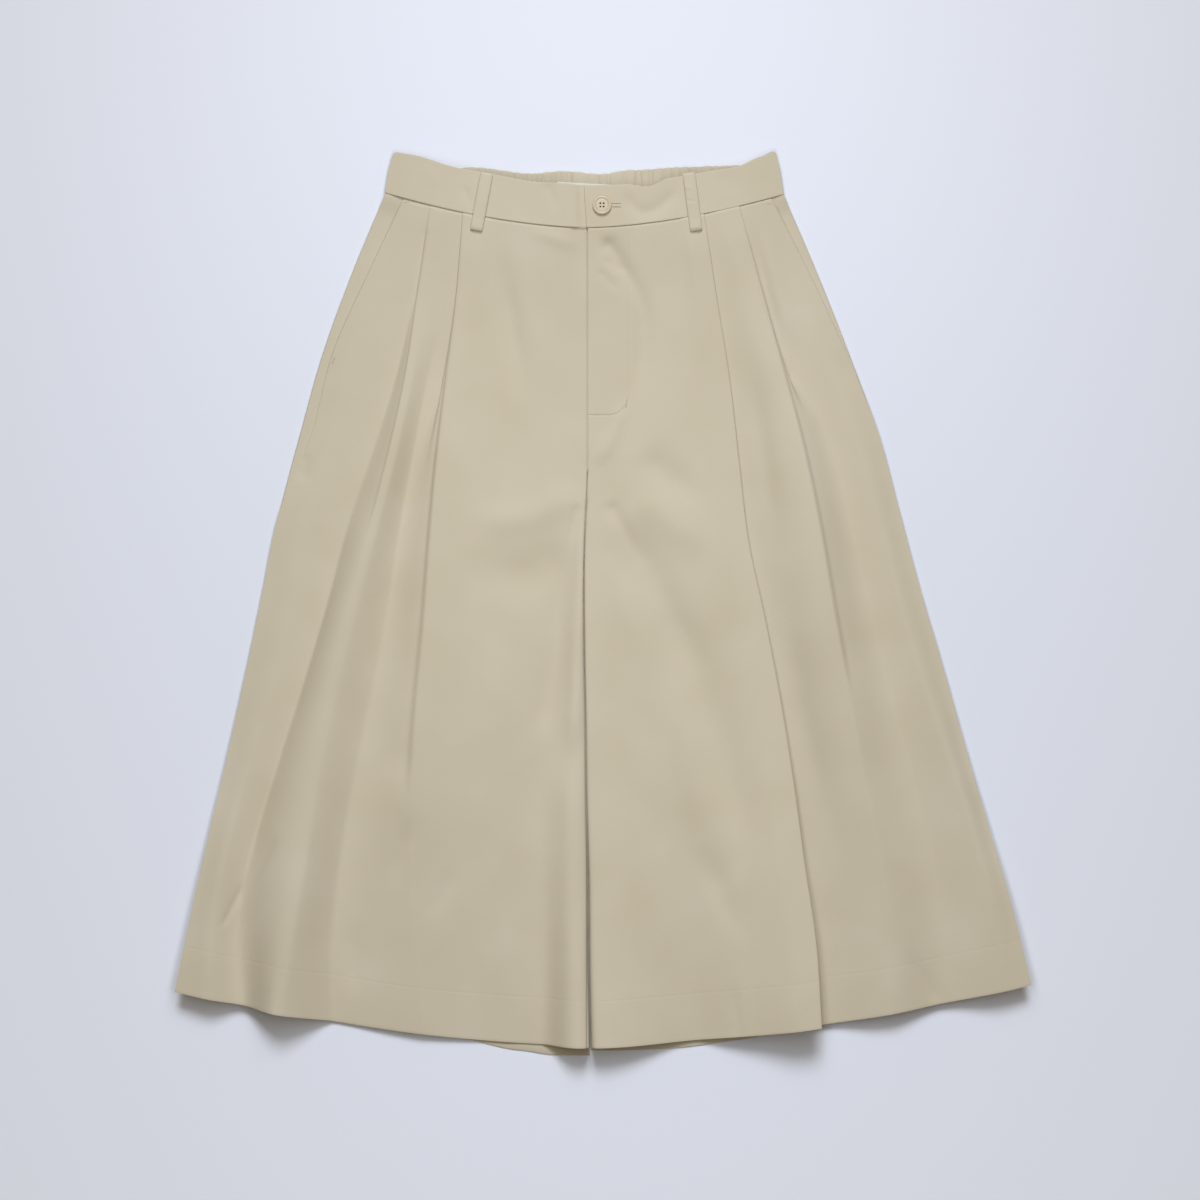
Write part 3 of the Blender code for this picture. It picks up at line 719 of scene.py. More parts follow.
def groove(material, distance, width, depth):
    """The height, in metres, of a seam line sunk into the cloth. Width and depth are millimetres."""
    share = node(material, MATH, {0: distance, 1: width * MM}, operation="DIVIDE")
    squared = node(material, MATH, {0: share, 1: share}, operation="MULTIPLY")
    negative = node(material, MATH, {0: squared, 1: -1.0}, operation="MULTIPLY")
    fall = node(material, MATH, {0: negative}, operation="EXPONENT")
    return node(material, MATH, {0: fall, 1: -depth * MM}, operation="MULTIPLY")


def hem_line(material):
    """Distance from the row of stitches that holds the turned-up hem."""
    hem = node(material, "ShaderNodeUVMap", uv_map="hem")
    up = node(material, "ShaderNodeSeparateXYZ", {"Vector": hem.outputs["UV"]}).outputs["Y"]
    from_line = node(material, MATH, {0: up, 1: HEM_DEPTH * MM}, operation="SUBTRACT")
    return node(material, MATH, {0: from_line}, operation="ABSOLUTE")


def lap_groove(material, coordinates):
    """The line where the fly's edge presses into the left half below it."""
    place = node(material, "ShaderNodeSeparateXYZ", {"Vector": coordinates.outputs["Object"]})
    line_x = (LAP_LINE_X + FRAME_X) * MM
    from_line = node(material, MATH, {0: place.outputs["X"], 1: line_x}, operation="SUBTRACT")
    distance = node(material, MATH, {0: from_line}, operation="ABSOLUTE")
    return groove(material, distance, width=0.75, depth=0.65)


def fly_groove(material, coordinates):
    """The fly's stitches run down, then turn in to the fly's edge, where they pull in deeper."""
    place = node(material, "ShaderNodeSeparateXYZ", {"Vector": coordinates.outputs["Object"]})
    turn_x = (FLY_STITCH_X - FLY_STITCH_TURN + FRAME_X) * MM
    turn_y = (FLY_STITCH_LOW + FLY_STITCH_TURN + FRAME_Y) * MM
    right = node(material, MATH, {0: place.outputs["X"], 1: turn_x}, operation="SUBTRACT")
    right = node(material, MATH, {0: right, 1: 0.0}, operation="MAXIMUM")
    below = node(material, MATH, {0: place.outputs["Y"], 1: turn_y}, operation="SUBTRACT")
    below = node(material, MATH, {0: below, 1: 0.0}, operation="MINIMUM")
    right_squared = node(material, MATH, {0: right, 1: right}, operation="MULTIPLY")
    below_squared = node(material, MATH, {0: below, 1: below}, operation="MULTIPLY")
    squares = node(material, MATH, {0: right_squared, 1: below_squared}, operation="ADD")
    reach = node(material, MATH, {0: squares}, operation="SQRT")
    from_line = node(material, MATH, {0: reach, 1: FLY_STITCH_TURN * MM}, operation="SUBTRACT")
    distance = node(material, MATH, {0: from_line}, operation="ABSOLUTE")
    deeper = node(material, MATH, {0: below, 1: -0.35 / (8.0 * MM)}, operation="MULTIPLY")
    share = node(material, MATH, {0: deeper, 1: 0.1}, operation="ADD")
    share = node(material, MATH, {0: share, 1: 0.4}, operation="MINIMUM")
    line = groove(material, distance, width=0.8, depth=1.0)
    return node(material, MATH, {0: line, 1: share}, operation="MULTIPLY")


# The twill, in millimetres. Its real ribs lie about 0.5 apart, finer than the picture shows, so they
# are drawn far wider apart and very shallow. Thick places of its yarn break them up, and pressing
# leaves large soft clouds of two tones.
RIB_SPACING = 5.65487
RIB_HEIGHT = 0.03
RIB_SLANT = 62.0
YARN_SIZE = 1.428571
CLOUD_SIZE = 71.42857
TWILL_COLOUR = "#CFC5B0"
TWILL_SHADE = "#C2B79C"
# What a wave texture multiplies its scale by.
WAVE_FACTOR = 20.0


def cotton_twill(name, front_groove=None):
    """Matt cotton twill: diagonal ribs that take the gloss off, a faint fibre sheen, and slight
    cloudiness from pressing. Its seam lines are sunk in."""
    material = new_material(name)
    shader = shader_of(material)
    coordinates = node(material, "ShaderNodeTexCoord")
    on_cloth = coordinates.outputs["UV"]
    in_place = coordinates.outputs["Object"]
    slanted = node(
        material,
        "ShaderNodeMapping",
        {"Vector": on_cloth, "Rotation": (0.0, 0.0, math.radians(RIB_SLANT))},
    )
    rib_scale = 2.0 * math.pi / (WAVE_FACTOR * RIB_SPACING * MM)
    ribs = node(
        material,
        "ShaderNodeTexWave",
        {"Vector": slanted.outputs["Vector"], "Scale": rib_scale, "Distortion": 0.6},
        wave_type="BANDS",
        bands_direction="X",
    )
    yarn = node(
        material,
        "ShaderNodeTexNoise",
        {"Vector": on_cloth, "Scale": 1.0 / (YARN_SIZE * MM), "Detail": 3.0, "Roughness": 0.6},
    )
    clouds = node(
        material,
        "ShaderNodeTexNoise",
        {"Vector": in_place, "Scale": 1.0 / (CLOUD_SIZE * MM), "Detail": 2.0, "Roughness": 0.5},
    )
    base = node(
        material,
        "ShaderNodeMix",
        {"A": linear(TWILL_COLOUR), "B": linear(TWILL_SHADE), "Factor": clouds.outputs["Fac"]},
        data_type="RGBA",
    )
    weave = node(
        material, MATH, {0: ribs.outputs["Fac"], 1: yarn.outputs["Fac"]}, operation="MULTIPLY"
    )
    relief = node(material, MATH, {0: weave, 1: RIB_HEIGHT * MM}, operation="MULTIPLY")
    seams = groove(material, hem_line(material), width=1.2, depth=0.07)
    if front_groove:
        at_front = front_groove(material, coordinates)
        seams = node(material, MATH, {0: seams, 1: at_front}, operation="ADD")
    height = node(material, MATH, {0: relief, 1: seams}, operation="ADD")
    bump = node(material, "ShaderNodeBump", {"Height": height, "Strength": 1.0, "Distance": 1.0})
    links = material.node_tree.links
    links.new(base.outputs["Result"], shader.inputs["Base Color"])
    links.new(bump.outputs["Normal"], shader.inputs["Normal"])
    shader.inputs["Roughness"].default_value = 0.9
    shader.inputs["Sheen Weight"].default_value = 0.12
    shader.inputs["Sheen Roughness"].default_value = 0.5
    shader.inputs["Specular IOR Level"].default_value = 0.2
    return material


def plain_material(name, colour, roughness, specular=0.3):
    """A material of one colour and one gloss all over."""
    material = new_material(name)
    shader = shader_of(material)
    shader.inputs["Base Color"].default_value = linear(colour)
    shader.inputs["Roughness"].default_value = roughness
    shader.inputs["Specular IOR Level"].default_value = specular
    return material


def front_leg(leg, name, creases, material, back, rows=290):
    """One front panel: sections from just under the waistband to the hem, with its creases."""
    side = leg["side"]
    seam_rows = [-SEAM_TUCK, -0.5 * SEAM_TUCK, 0.0, 0.5 * SEAM_GROOVE, SEAM_GROOVE]
    grid = []
    for station in seam_rows + list(np.linspace(0.0, 1.0, rows + 1))[1:]:
        grid.append([
            (side * place, height_up(leg, place, station), height)
            for place, height in front_section(leg, station)
        ])
    grid = eased(np.array(grid), rounds=2, share=0.3)
    x, y, z = grid[..., 0], grid[..., 1], grid[..., 2]
    added = crease_heights(x, y, creases) + unevenness(x, y, amount=0.25)
    below_seam = np.linspace(0.0, 1.0, len(grid))[:, None]
    added *= smooth_array(below_seam / 0.03)
    grid[..., 2] = np.maximum(z + added, np.minimum(z, LEAST_HEIGHT))
    return sewn_cloth(name, grid, TWILL, material, flip=side > 0, rests_on=[back])


def back_height(leg, place, station):
    """The back rests flat, and turns up at the sides where the hem stands off the surface."""
    outline = along(leg["outline"], station)
    valley = fold_point(leg, "outer_valley", station)[0]
    layers_over = 2.0 - smooth((station - leg["pocket_end"]) / 0.04 - 1.0)
    rise = fold_point(leg, "side_edge", station)[1] - layers_over * LAYER - 0.5
    across = max(0.0, (place - valley) / (outline - valley))
    return 0.5 + max(0.0, rise) * across * across


def back_leg(leg, name, material, rows=120, columns=72):
    """One back panel, from the back waistband to a hem that hangs lower near the inseam."""

    def point(station, across):
        seam = fold_point(leg, "inner_edge", station)[0] - BACK_PAST_FRONT
        inner = seam * below_crotch(station)
        place = inner + (along(leg["outline"], station) - inner) * across
        y = height_up(leg, place, station, BACK_RISE, past_table(leg["back_drop"], place))
        return leg["side"] * place, y, back_height(leg, place, station)

    return sewn_cloth(name, grid_of(rows, columns, point), TWILL, material, flip=leg["side"] > 0)


def pocket_facing(leg, name, material, rows=80, columns=14):
    """The strip that shows between the slanted pocket mouth and the side of the leg."""

    def point(down, across):
        station = (leg["facing_end"] + SEAM_TUCK) * down - SEAM_TUCK
        ending = smooth((station - leg["facing_end"]) / 0.08 + 1.0)
        outer = along(leg["outline"], station) - 0.5 - 5.0 * ending
        inner = fold_point(leg, "side_edge", station)[0] - FACING_TUCK
        place = inner + (outer - inner) * across
        height = back_height(leg, place, station) + LAYER
        height += FACING_LIFT * (1.0 - smooth(station / 0.025))
        return leg["side"] * place, height_up(leg, place, station), height

    return sewn_cloth(name, grid_of(rows, columns, point), TWILL, material, flip=leg["side"] > 0)


def seam_y(x, middle=0.0):
    """The waist seam, lowest at the centre front."""
    return middle + (WAIST_SIDE_RISE - middle) * (abs(x) / HALF_WAIST) ** EDGE_CURVE


def band_level(x):
    return BAND_LEVEL + bulge(x, 0.0)


# Dents of the front waistband, as rows like the creases above.
BAND_CREASES = (
    (34, 36, 46, -10, 86, 40, -1.4, 6, 0.2, 0.2),
    (-37, 41, -30, 28, -27, 12, -0.8, 5, 0.2, 0.5),
    (-112, 40, -108, 30, -105, 18, -0.6, 4, 0.4, 0.4),
    (-150, 62, -140, 50, -132, 34, 0.5, 8, 0.4, 0.4),
    (120, 52, 130, 44, 138, 30, -0.5, 7, 0.4, 0.4),
)
# The front waistband's ends, its corners' radius, and how far its edge at the fly leans at the top.
BAND_ENDS = (-182.3, 177.3)
BAND_CORNER = 6.0
FLY_LEAN = 2.4


def front_band(name, ends, lapped, material, columns=150, rows=26):
    """Half of the front waistband. `ends` are its two ends along the seam, and the lapped half dips
    under the other one."""

    def point(level, across):
        seam_x = ends[0] + (ends[1] - ends[0]) * across
        x = seam_x * (1.0 - BAND_SIDE_TAPER * level)
        x -= FLY_LEAN * level * (1.0 - smooth(abs(seam_x) / 20.0))
        top = BAND_HEIGHT + past_table(FRONT_TOP_TRIM, x)
        from_end = min(abs(seam_x - end) for end in BAND_ENDS) / BAND_CORNER
        rounded = 1.0 - math.sqrt(1.0 - (1.0 - min(1.0, from_end)) ** 2)
        y = seam_y(seam_x) + SEAM_GAP + top * level
        y -= BAND_CORNER * rounded * smooth((level - 0.5) / 0.5)
        lowered = under_lap(seam_x) if lapped else 0.0
        return x, y, band_level(seam_x) - lowered

    grid = grid_of(rows, columns, point)
    x, y = grid[..., 0], grid[..., 1]
    grid[..., 2] += crease_heights(x, y, BAND_CREASES) + unevenness(x, y, amount=0.15)
    return sewn_cloth(name, grid, DOUBLE_TWILL, material, edge=0.5)


# Creases between the gathers of the back waistband: place, depth, lean towards the top.
GATHER_CREASES = (
    (-163, 0.3, 1),
    (-150, 0.5, -1),
    (-139, 0.4, 0),
    (-124, 0.6, 1),
    (-113, 0.4, -1),
    (-99, 0.5, 0),
    (-91, 0.3, 1),
    (-78, 0.4, -1),
    (-65, 0.8, -1),
    (-59, 0.5, 0),
    (-56, 0.8, 1),
    (-49, 0.7, -1),
    (-45, 0.6, 0),
    (-42, 0.7, 1),
    (-32, 0.6, 0),
    (-28, 0.7, -1),
    (-24, 0.6, 1),
    (-20, 0.7, 1),
    (-12, 1.1, -2),
    (0, 0.3, 0),
    (12, 0.9, -1),
    (18, 0.6, 1),
    (22, 0.9, -2),
    (34, 0.6, 0),
    (43, 1.2, 1),
    (51, 0.8, -2),
    (56, 0.6, 1),
    (60, 0.8, -1),
    (69, 0.5, 0),
    (76, 0.7, 1),
    (85, 0.8, -1),
    (93, 0.7, 0),
    (99, 0.7, 1),
    (104, 0.8, -1),
    (112, 1.1, 1),
    (121, 0.5, -1),
    (129, 0.4, 0),
    (138, 0.6, 1),
    (150, 0.4, -1),
    (158, 0.3, 0),
)

# How high the puffs between them stand.
GATHER_HEIGHT = 0.5


def gather_height(x, lean_share):
    """Height of the gathered cloth over its level: puffs between sharp, uneven creases."""
    places = [place + lean * lean_share for place, _, lean in GATHER_CREASES]
    after = min(max(int(np.searchsorted(places, x)), 1), len(places) - 1)
    width = places[after] - places[after - 1]
    share = min(max((x - places[after - 1]) / width, 0.0), 1.0)
    puff = math.sin(math.pi * share) ** 0.6 * min(1.0, 0.35 + width / 14.0)
    height = GATHER_HEIGHT * (1.6 * puff - 0.6)
    for place, (_, depth, _) in zip(places, GATHER_CREASES):
        height -= 0.8 * depth * math.exp(-(((x - place) / 0.7) ** 2))
    return max(height, -1.1)


def back_band(name, material, columns=520, rows=18):
    """The back waistband, gathered by the elastic inside it."""

    def point(level, across):
        seam_x = -BACK_BAND_LEFT + (BACK_BAND_LEFT + BACK_BAND_RIGHT) * across
        x = seam_x * (1.0 - BAND_SIDE_TAPER * level)
        calm = smooth(across / 0.05) * smooth((1.0 - across) / 0.05)
        height = gather_height(x, level) * calm
        seam = seam_y(seam_x, BACK_RISE) + SEAM_GAP
        top = past_table(BACK_TOP, x) + 0.35 * height * calm
        return x, seam + (top - seam) * level, BACK_BAND_LEVEL + height

    grid = grid_of(rows, columns, point)
    return sewn_cloth(name, grid, GATHERED_TWILL, material, edge=0.4, held="gathered")


def label(name, material, columns=40, rows=14):
    """The bare woven strip inside the back waistband, following the gathers a little."""

    def point(level, across):
        x = LABEL_ENDS[0] + (LABEL_ENDS[1] - LABEL_ENDS[0]) * across
        y = LABEL_TOP - LABEL_HEIGHT * (1.0 - level) + LABEL_SLANT * across
        ripple = 0.25 * math.sin(x / 4.1) + 0.2 * math.sin(x / 1.9 + 1.0)
        return x, y, LABEL_LEVEL + ripple

    grid = grid_of(rows, columns, point)
    return sewn_cloth(name, grid, LABEL_CLOTH, material, edge=0.1, slot="label")


# A belt loop's height over the waistband's level, from its lower end, which is folded under.
LOOP_SHARES = (0.0, 0.012, 0.03, 0.06, 0.2, 0.3, 0.5, 0.7, 0.9, 0.97, 0.99, 1.0)
LOOP_HEIGHTS = (0.6, 1.5, 2.2, 2.5, 2.5, 2.7, 3.1, 2.9, 2.3, 2.0, 1.4, 0.6)

# Small cross wrinkles of the right belt loop, as rows like the creases above.
LOOP_CREASES = (
    (84, 38, 90, 36, 96, 35, 0.35, 1.6, 0.4, 0.4),
    (88, 25, 93, 24, 99, 23, -0.4, 1.4, 0.4, 0.4),
)


def belt_loop(name, top_x, bottom_x, creases, material, rows=90, columns=16):
    """A strip from the top of the waistband to just under the seam, with stitched edges."""
    middle = 0.5 * (top_x + bottom_x)
    low_y = seam_y(middle) - LOOP_BELOW_SEAM
    high_y = seam_y(middle) + SEAM_GAP + BAND_HEIGHT + 0.5
    run = math.hypot(top_x - bottom_x, high_y - low_y)
    sideways = ((high_y - low_y) / run, (bottom_x - top_x) / run)

    def point(share, across):
        offset = (across - 0.5) * LOOP_WIDTH
        x = bottom_x + (top_x - bottom_x) * share + offset * sideways[0]
        y = low_y + (high_y - low_y) * share + offset * sideways[1]
        over = float(np.interp(share, LOOP_SHARES, LOOP_HEIGHTS))
        stitched = 0.22 * math.exp(-(((abs(offset) - 4.0) / 0.45) ** 2))
        crown = 0.7 * (1.0 - (2.0 * across - 1.0) ** 8)
        return x, y, band_level(middle) + over + crown - stitched

    grid = grid_of(rows, columns, point)
    grid[..., 2] += crease_heights(grid[..., 0], grid[..., 1], creases)
    return sewn_cloth(name, grid, LOOP_CLOTH, material, edge=0.35)


def drop_onto(pieces, x, y, from_height=200.0):
    """Height of the cloth, in millimetres, at a point of the working frame."""
    heights = []
    for piece in pieces:
        hit, place = piece.ray_cast(place_at(x, y, from_height), (0.0, 0.0, -1.0))[:2]
        if hit:
            heights.append(place.z / MM)
    return max(heights)


def one_stitch(length, width):
    """A single stitch of thread: a round bar whose ends dive into the cloth."""
    bpy.ops.object.select_all(action="DESELECT")
    bpy.ops.mesh.primitive_uv_sphere_add(segments=10, ring_count=8, radius=0.5 * MM)
    stitch = bpy.context.object
    bpy.ops.object.mode_set(mode="EDIT")
    bpy.ops.mesh.select_all(action="SELECT")
    bpy.ops.transform.resize(value=(length, width, width))
    bpy.ops.object.mode_set(mode="OBJECT")
    return stitch


def sew_stitches(name, places, length, width, onto, material):
    """Copies of one stitch, laid on the cloth. `places` are rows of x, y and heading in degrees."""
    first = one_stitch(length, width)
    copies = []
    for x, y, heading in places:
        stitch = first.copy()
        height = drop_onto(onto, x, y)
        stitch.location = place_at(x, y, height + 0.12 * width)
        stitch.rotation_euler = (0.0, 0.0, math.radians(heading))
        bpy.context.scene.collection.objects.link(stitch)
        copies.append(stitch)
    bpy.data.objects.remove(first, do_unlink=True)
    choose(*copies)
    bpy.ops.object.make_single_user(object=True, obdata=True)
    bpy.ops.object.transform_apply(location=True, rotation=True, scale=True)
    bpy.ops.object.join()
    thread = bpy.context.object
    thread.name = name
    thread.data.materials.append(material)
    thread.data.shade_smooth()
    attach(thread, "root")


def along_path(path, pitch):
    """Evenly spaced places on a path of points, each with the path's heading."""
    path = np.array(path, float)
    steps = np.diff(path, axis=0)
    run = np.concatenate([[0.0], np.cumsum(np.hypot(steps[:, 0], steps[:, 1]))])
    places = []
    for distance in np.arange(0.5 * pitch, run[-1], pitch):
        step = min(int(np.searchsorted(run, distance)) - 1, len(steps) - 1)
        share = (distance - run[step]) / (run[step + 1] - run[step])
        x, y = path[step] + steps[step] * share
        places.append((x, y, math.degrees(math.atan2(steps[step][1], steps[step][0]))))
    return places


def fly_path(turn_steps=10):
    """The fly's stitches: down from the waist seam, then round to the fly's edge."""
    turn_x = FLY_STITCH_X - FLY_STITCH_TURN
    turn_y = FLY_STITCH_LOW + FLY_STITCH_TURN
    path = [(FLY_STITCH_X, -4.0), (FLY_STITCH_X, turn_y)]
    for step in range(1, turn_steps + 1):
        angle = -0.5 * math.pi * step / turn_steps
        turned_x = turn_x + FLY_STITCH_TURN * math.cos(angle)
        path.append((turned_x, turn_y + FLY_STITCH_TURN * math.sin(angle)))
    path.append((4.0, FLY_STITCH_LOW))
    return path


def bar_places(x, y, heading, length, pitch=0.55):
    """Close stitches across a short bar that holds a seam's end."""
    places = []
    for along_it in np.arange(-0.5 * length, 0.5 * length, pitch):
        turned = math.radians(heading)
        places.append((x + along_it * math.cos(turned), y + along_it * math.sin(turned), heading + 90.0))
    return places


# Bars of close stitches at the ends of seams: x, y, heading, length.
FLY_BARS = ((35.6, -157.5, 82.0, 8.0), (3.4, -167.0, 0.0, 4.0))
POCKET_BARS = ((-228.6, -118.5, 70.0, 6.0), (-162.0, 24.0, 0.0, 5.0), (164.6, 22.6, 0.0, 5.0))
LOOP_BARS = ((-99.4, -1.6, -11.0, 9.0), (98.0, -2.2, 7.0, 9.0))

# The buttonhole's far end, and how far its rows of stitches lie from its middle.
BUTTONHOLE_END = 31.0
BUTTONHOLE_LIP = 1.55


def buttonhole_places(pitch=0.5):
    """Crosswise stitches along both lips of the buttonhole."""
    places = []
    for y in (BUTTON_Y - BUTTONHOLE_LIP, BUTTON_Y + BUTTONHOLE_LIP):
        for x in np.arange(BUTTON_X - 1.0, BUTTONHOLE_END, pitch):
            places.append((x, y, 90.0))
    return places


# The button's top, worked inwards from its wall: how far in each ring lies, how far it rises.
BUTTON_RINGS = (
    (0.35, 0.40),
    (0.55, 0.28),
    (0.70, 0.08),
    (0.55, -0.16),
    (0.35, -0.42),
    (0.22, -0.22),
    (0.28, 0.20),
    (0.45, 0.16),
    (0.80, 0.02),
)
# The button's wall, its holes' radius and how far they lie from its middle each way, the depth that
# cuts them through, how high it stands off the waistband, and the thread below it, dark as painted
# shade.
BUTTON_WALL = 1.5
BUTTON_HOLE = 0.85
BUTTON_HOLE_PLACE = 1.5
BUTTON_CUT = 12.0
BUTTON_LIFT = 0.45
SHANK_RADIUS = 3.4
SHANK_HEIGHT = 1.2


def disc(x, y, height, radius, depth, vertices):
    """A short cylinder about a point of the working frame."""
    bpy.ops.object.select_all(action="DESELECT")
    bpy.ops.mesh.primitive_cylinder_add(
        vertices=vertices, radius=radius * MM, depth=depth * MM, location=place_at(x, y, height)
    )
    return bpy.context.object


def select_top(thing):
    """Selects the face of a turned piece that lies highest, in edit mode."""
    bpy.ops.object.mode_set(mode="EDIT")
    bpy.ops.mesh.select_mode(type="FACE")
    bpy.ops.mesh.select_all(action="DESELECT")
    bpy.ops.object.mode_set(mode="OBJECT")
    top = max(thing.data.polygons, key=lambda face: face.center.z)
    top.select = True
    bpy.ops.object.mode_set(mode="EDIT")


def button(material, around=96):
    """A four-hole button: a rounded rim, a groove, and a flat middle with four holes."""
    base = band_level(BUTTON_X) + 0.5 * DOUBLE_TWILL + BUTTON_LIFT
    thing = disc(BUTTON_X, BUTTON_Y, base + 0.5 * BUTTON_WALL, BUTTON_RADIUS, BUTTON_WALL, around)
    thing.name = "waist_button_turned"
    select_top(thing)
    for inwards, rise in BUTTON_RINGS:
        bpy.ops.mesh.inset(thickness=inwards * MM)
        bpy.ops.transform.translate(value=(0.0, 0.0, rise * MM))
    bpy.ops.object.mode_set(mode="OBJECT")
    bevel(thing, width=0.12, degrees=24.0)
    for side_x, side_y in ((-1, -1), (-1, 1), (1, -1), (1, 1)):
        hole_x = BUTTON_X + side_x * BUTTON_HOLE_PLACE
        hole_y = BUTTON_Y + side_y * BUTTON_HOLE_PLACE
        cutter = disc(hole_x, hole_y, base, BUTTON_HOLE, BUTTON_CUT, 24)
        apply_modifier(thing, "BOOLEAN", operation="DIFFERENCE", solver="EXACT", object=cutter)
        bpy.data.objects.remove(cutter, do_unlink=True)
    choose(thing)
    bpy.ops.object.transform_apply(location=True, rotation=True, scale=True)
    bpy.ops.object.shade_smooth_by_angle(angle=math.radians(35.0))
    thing.data.materials.append(material)
    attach(thing, "root")
    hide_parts("waist_button")


def button_shank(material):
    """The wound thread that holds the button, coloured near black as painted shade so that it shows dark
    in the button's holes.
    """
    middle = band_level(BUTTON_X) + 0.5 * DOUBLE_TWILL
    shank = disc(BUTTON_X, BUTTON_Y, middle, SHANK_RADIUS, SHANK_HEIGHT, 32)
    shank.name = "thread_button_shank_painted_shade"
    bpy.ops.object.transform_apply(location=True, rotation=True, scale=True)
    shank.data.materials.append(material)
    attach(shank, "root")


# The surface: its tone under the garment and away from it, where it is paler as painted light that makes
# up for the lamps' falloff, how far, in metres, the one takes to turn into the other, how wide it is,
# and how far it lies below the cloth.
FLOOR_COLOUR = "#D6DAE3"
FLOOR_EDGE_PAINTED_LIGHT = "#F4F7FF"
FLOOR_REACH = 0.8
FLOOR_WIDTH = 40.0
FLOOR_DROP = 0.0003


def plain_floor():
    """A pale, matt, cool surface, a little paler away from the garment as painted light that evens out
    the lamps' falloff.
    """
    bpy.ops.object.select_all(action="DESELECT")
    bpy.ops.mesh.primitive_plane_add(size=FLOOR_WIDTH, location=(0.0, 0.0, -FLOOR_DROP))
    floor = bpy.context.object
    floor.name = "studio_floor"
    # Board with a matt paint, which shows shadows softly and no gloss.
    board = plain_material("painted_board", FLOOR_COLOUR, 0.8)
    coordinates = node(board, "ShaderNodeTexCoord")
    scaled = node(
        board,
        "ShaderNodeMapping",
        {"Vector": coordinates.outputs["Object"], "Scale": (1.0 / FLOOR_REACH,) * 3},
    )
    near = node(
        board,
        "ShaderNodeTexGradient",
        {"Vector": scaled.outputs["Vector"]},
        gradient_type="SPHERICAL",
    )
    # Painted light: the board turns paler away from the middle to make up for the lamps' falloff.
    tone = node(
        board,
        "ShaderNodeMix",
        {"A": linear(FLOOR_EDGE_PAINTED_LIGHT), "B": linear(FLOOR_COLOUR), "Factor": near.outputs["Fac"]},
        data_type="RGBA",
    )
    board.node_tree.links.new(tone.outputs["Result"], shader_of(board).inputs["Base Color"])
    floor.data.materials.append(board)


def add_lamp(name, kind, location, strength, size, colour):
    """A lamp aimed at the middle of the garment."""
    light = bpy.data.lights.new(name, kind)
    light.energy = strength
    light.color = colour
    if kind == "SUN":
        light.angle = size
    else:
        light.shape = "RECTANGLE"
        light.size, light.size_y = size
    lamp = bpy.data.objects.new(name, light)
    lamp.location = location
    pitch = math.atan2(math.hypot(location[0], location[1]), location[2])
    heading = math.atan2(-location[0], -location[1])
    lamp.rotation_euler = (pitch, 0.0, -heading)
    bpy.context.scene.collection.objects.link(lamp)


# Lamps: name, kind, place, strength, size, colour.
COOL_WHITE = (0.955, 1.005, 1.10)
LAMPS = (
    ("softbox", "SUN", (0.0, 2.0, 2.0), 1.82, 0.36, COOL_WHITE),
    ("strip", "AREA", (0.0, 0.18, 0.82), 4.68, (0.3, 1.4), COOL_WHITE),
)
FILL_COLOUR = "#FFE2AE"
FILL_STRENGTH = 0.14


def studio_light():
    """A large far softbox beyond the waist, a long strip straight above, and an even warm fill."""
    for row in LAMPS:
        add_lamp(*row)
    world = bpy.data.worlds.new("studio_fill")
    bpy.context.scene.world = world
    world.use_nodes = True
    background = world.node_tree.nodes["Background"]
    background.inputs["Color"].default_value = linear(FILL_COLOUR)
    background.inputs["Strength"].default_value = FILL_STRENGTH
    bpy.context.scene.view_settings.view_transform = "Standard"


# The camera: its place in metres, the level it is set for, how wide the picture is there, and the
# width of its sensor in millimetres.
CAMERA_PLACE = (-0.0027, 0.003, 3.2)
PICTURE_LEVEL = 0.012
PICTURE_WIDTH = 1.08
SENSOR = 36.0


def overhead_camera():
    camera = bpy.data.cameras.new("overhead")
    camera.sensor_width = SENSOR
    camera.lens = SENSOR * (CAMERA_PLACE[2] - PICTURE_LEVEL) / PICTURE_WIDTH
    holder = bpy.data.objects.new("overhead", camera)
    holder.location = CAMERA_PLACE
    bpy.context.scene.collection.objects.link(holder)
    bpy.context.scene.camera = holder


twill = cotton_twill("cotton_twill_sand")
twill_with_fly = cotton_twill("cotton_twill_sand_fly", fly_groove)
twill_under_fly = cotton_twill("cotton_twill_sand_lap", lap_groove)
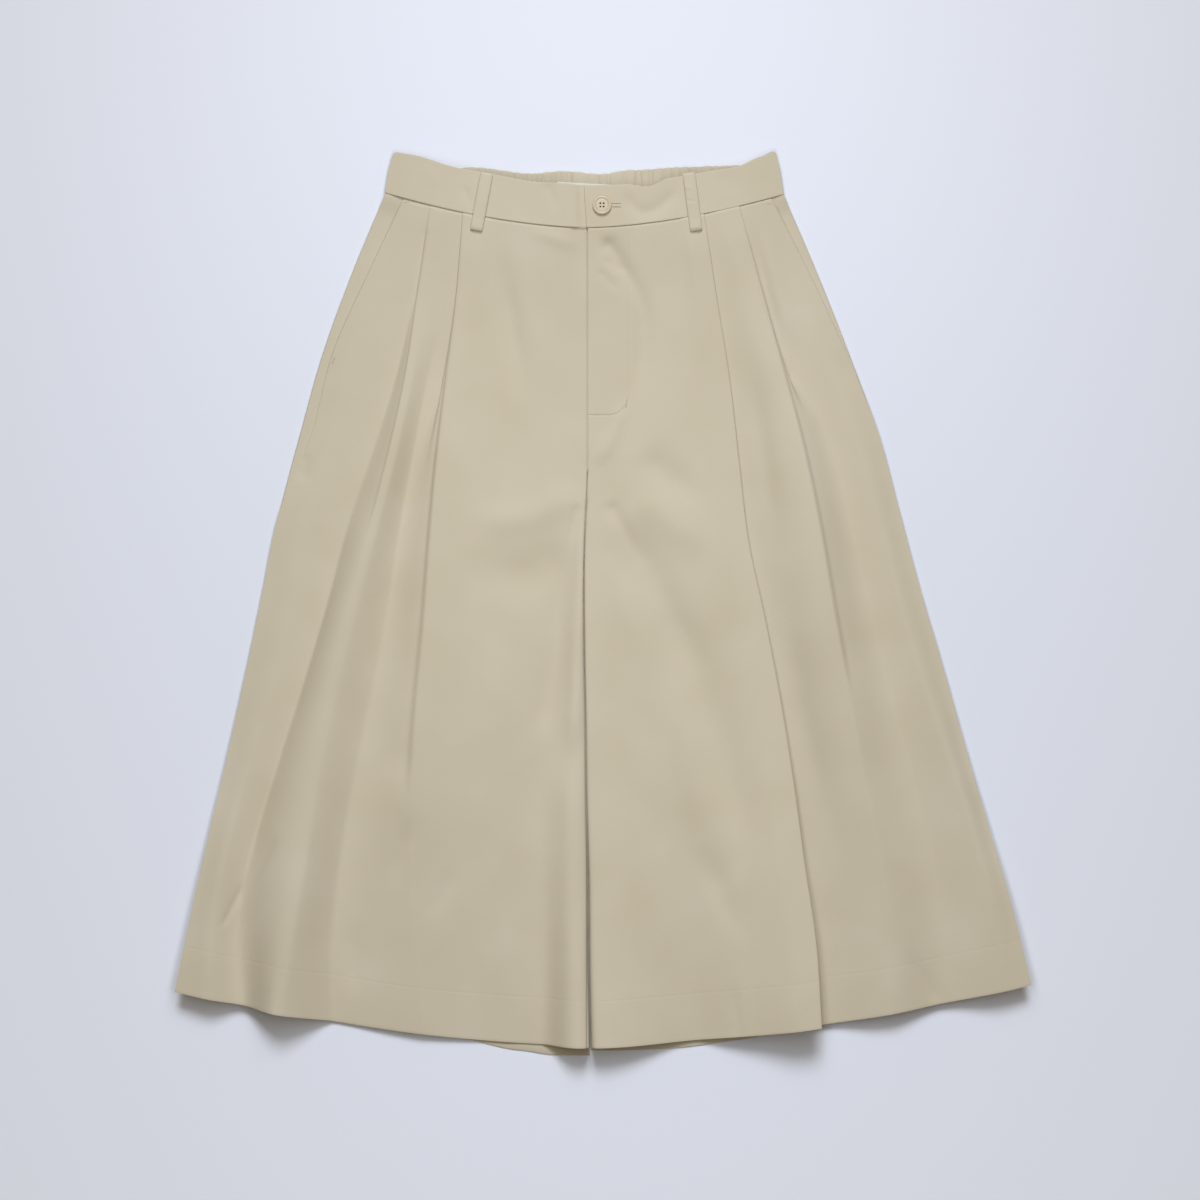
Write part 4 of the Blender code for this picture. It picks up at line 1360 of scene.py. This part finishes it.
# Spun polyester thread: matt strands, a little darker than the cloth, so that stitches just show.
thread = plain_material("spun_polyester_thread", "#C9BEA8", 0.75)
# Polyester satin: smooth and off-white, with a soft gloss.
satin = plain_material("label_satin_white", "#DFDDD6", 0.55)
# Thread, packed close and coloured brown as painted shade, which draws the two dark lips of the
# buttonhole.
buttonhole_painted_shade_thread = plain_material("buttonhole_thread_painted_shade", "#8D7F68", 0.75)
# Thread below the button, coloured near black as painted shade, which makes its four holes look dark.
shank_thread_painted_shade = plain_material("button_thread_painted_shade", "#40382E", 0.8)
# Polyester resin, turned and tumbled: a soft gloss along the button's rim.
resin = plain_material("button_resin_beige", "#CABA9F", 0.38, specular=0.45)

left_front = front_leg(LEFT, "front_left_leg", LEFT_CREASES, twill_under_fly, "back_left_leg")
right_front = front_leg(RIGHT, "front_right_leg", RIGHT_CREASES, twill_with_fly, "back_right_leg")
back_leg(LEFT, "back_left_leg", twill)
back_leg(RIGHT, "back_right_leg", twill)
pocket_facing(LEFT, "pocket_facing_left", twill)
pocket_facing(RIGHT, "pocket_facing_right", twill)
front_band("waistband_front_left", (BAND_ENDS[0], 34.0), True, twill)
right_band = front_band("waistband_front_right", (-0.3, BAND_ENDS[1]), False, twill)
back_band("waistband_back", twill)
label("label_blank", satin)
left_loop = belt_loop("belt_loop_left", -90.0, -99.7, (), twill)
right_loop = belt_loop("belt_loop_right", 91.5, 98.3, LOOP_CREASES, twill)

button(resin)
sew_stitches(
    "thread_fly", along_path(fly_path(), STITCH + 0.5), STITCH, THREAD, [right_front], thread
)
sew_stitches("thread_buttonhole", buttonhole_places(), 0.9, THREAD, [right_band], buttonhole_painted_shade_thread)
button_shank(shank_thread_painted_shade)
for name, rows, length, onto in (
    ("thread_fly_bars", FLY_BARS, 1.6, [right_front]),
    ("thread_pocket_bars", POCKET_BARS, 1.6, [left_front, right_front]),
    ("thread_loop_bars", LOOP_BARS, 1.3, [left_loop, right_loop]),
):
    bars = [place for row in rows for place in bar_places(*row)]
    sew_stitches(name, bars, length, THREAD, onto, thread)

plain_floor()
studio_light()
overhead_camera()
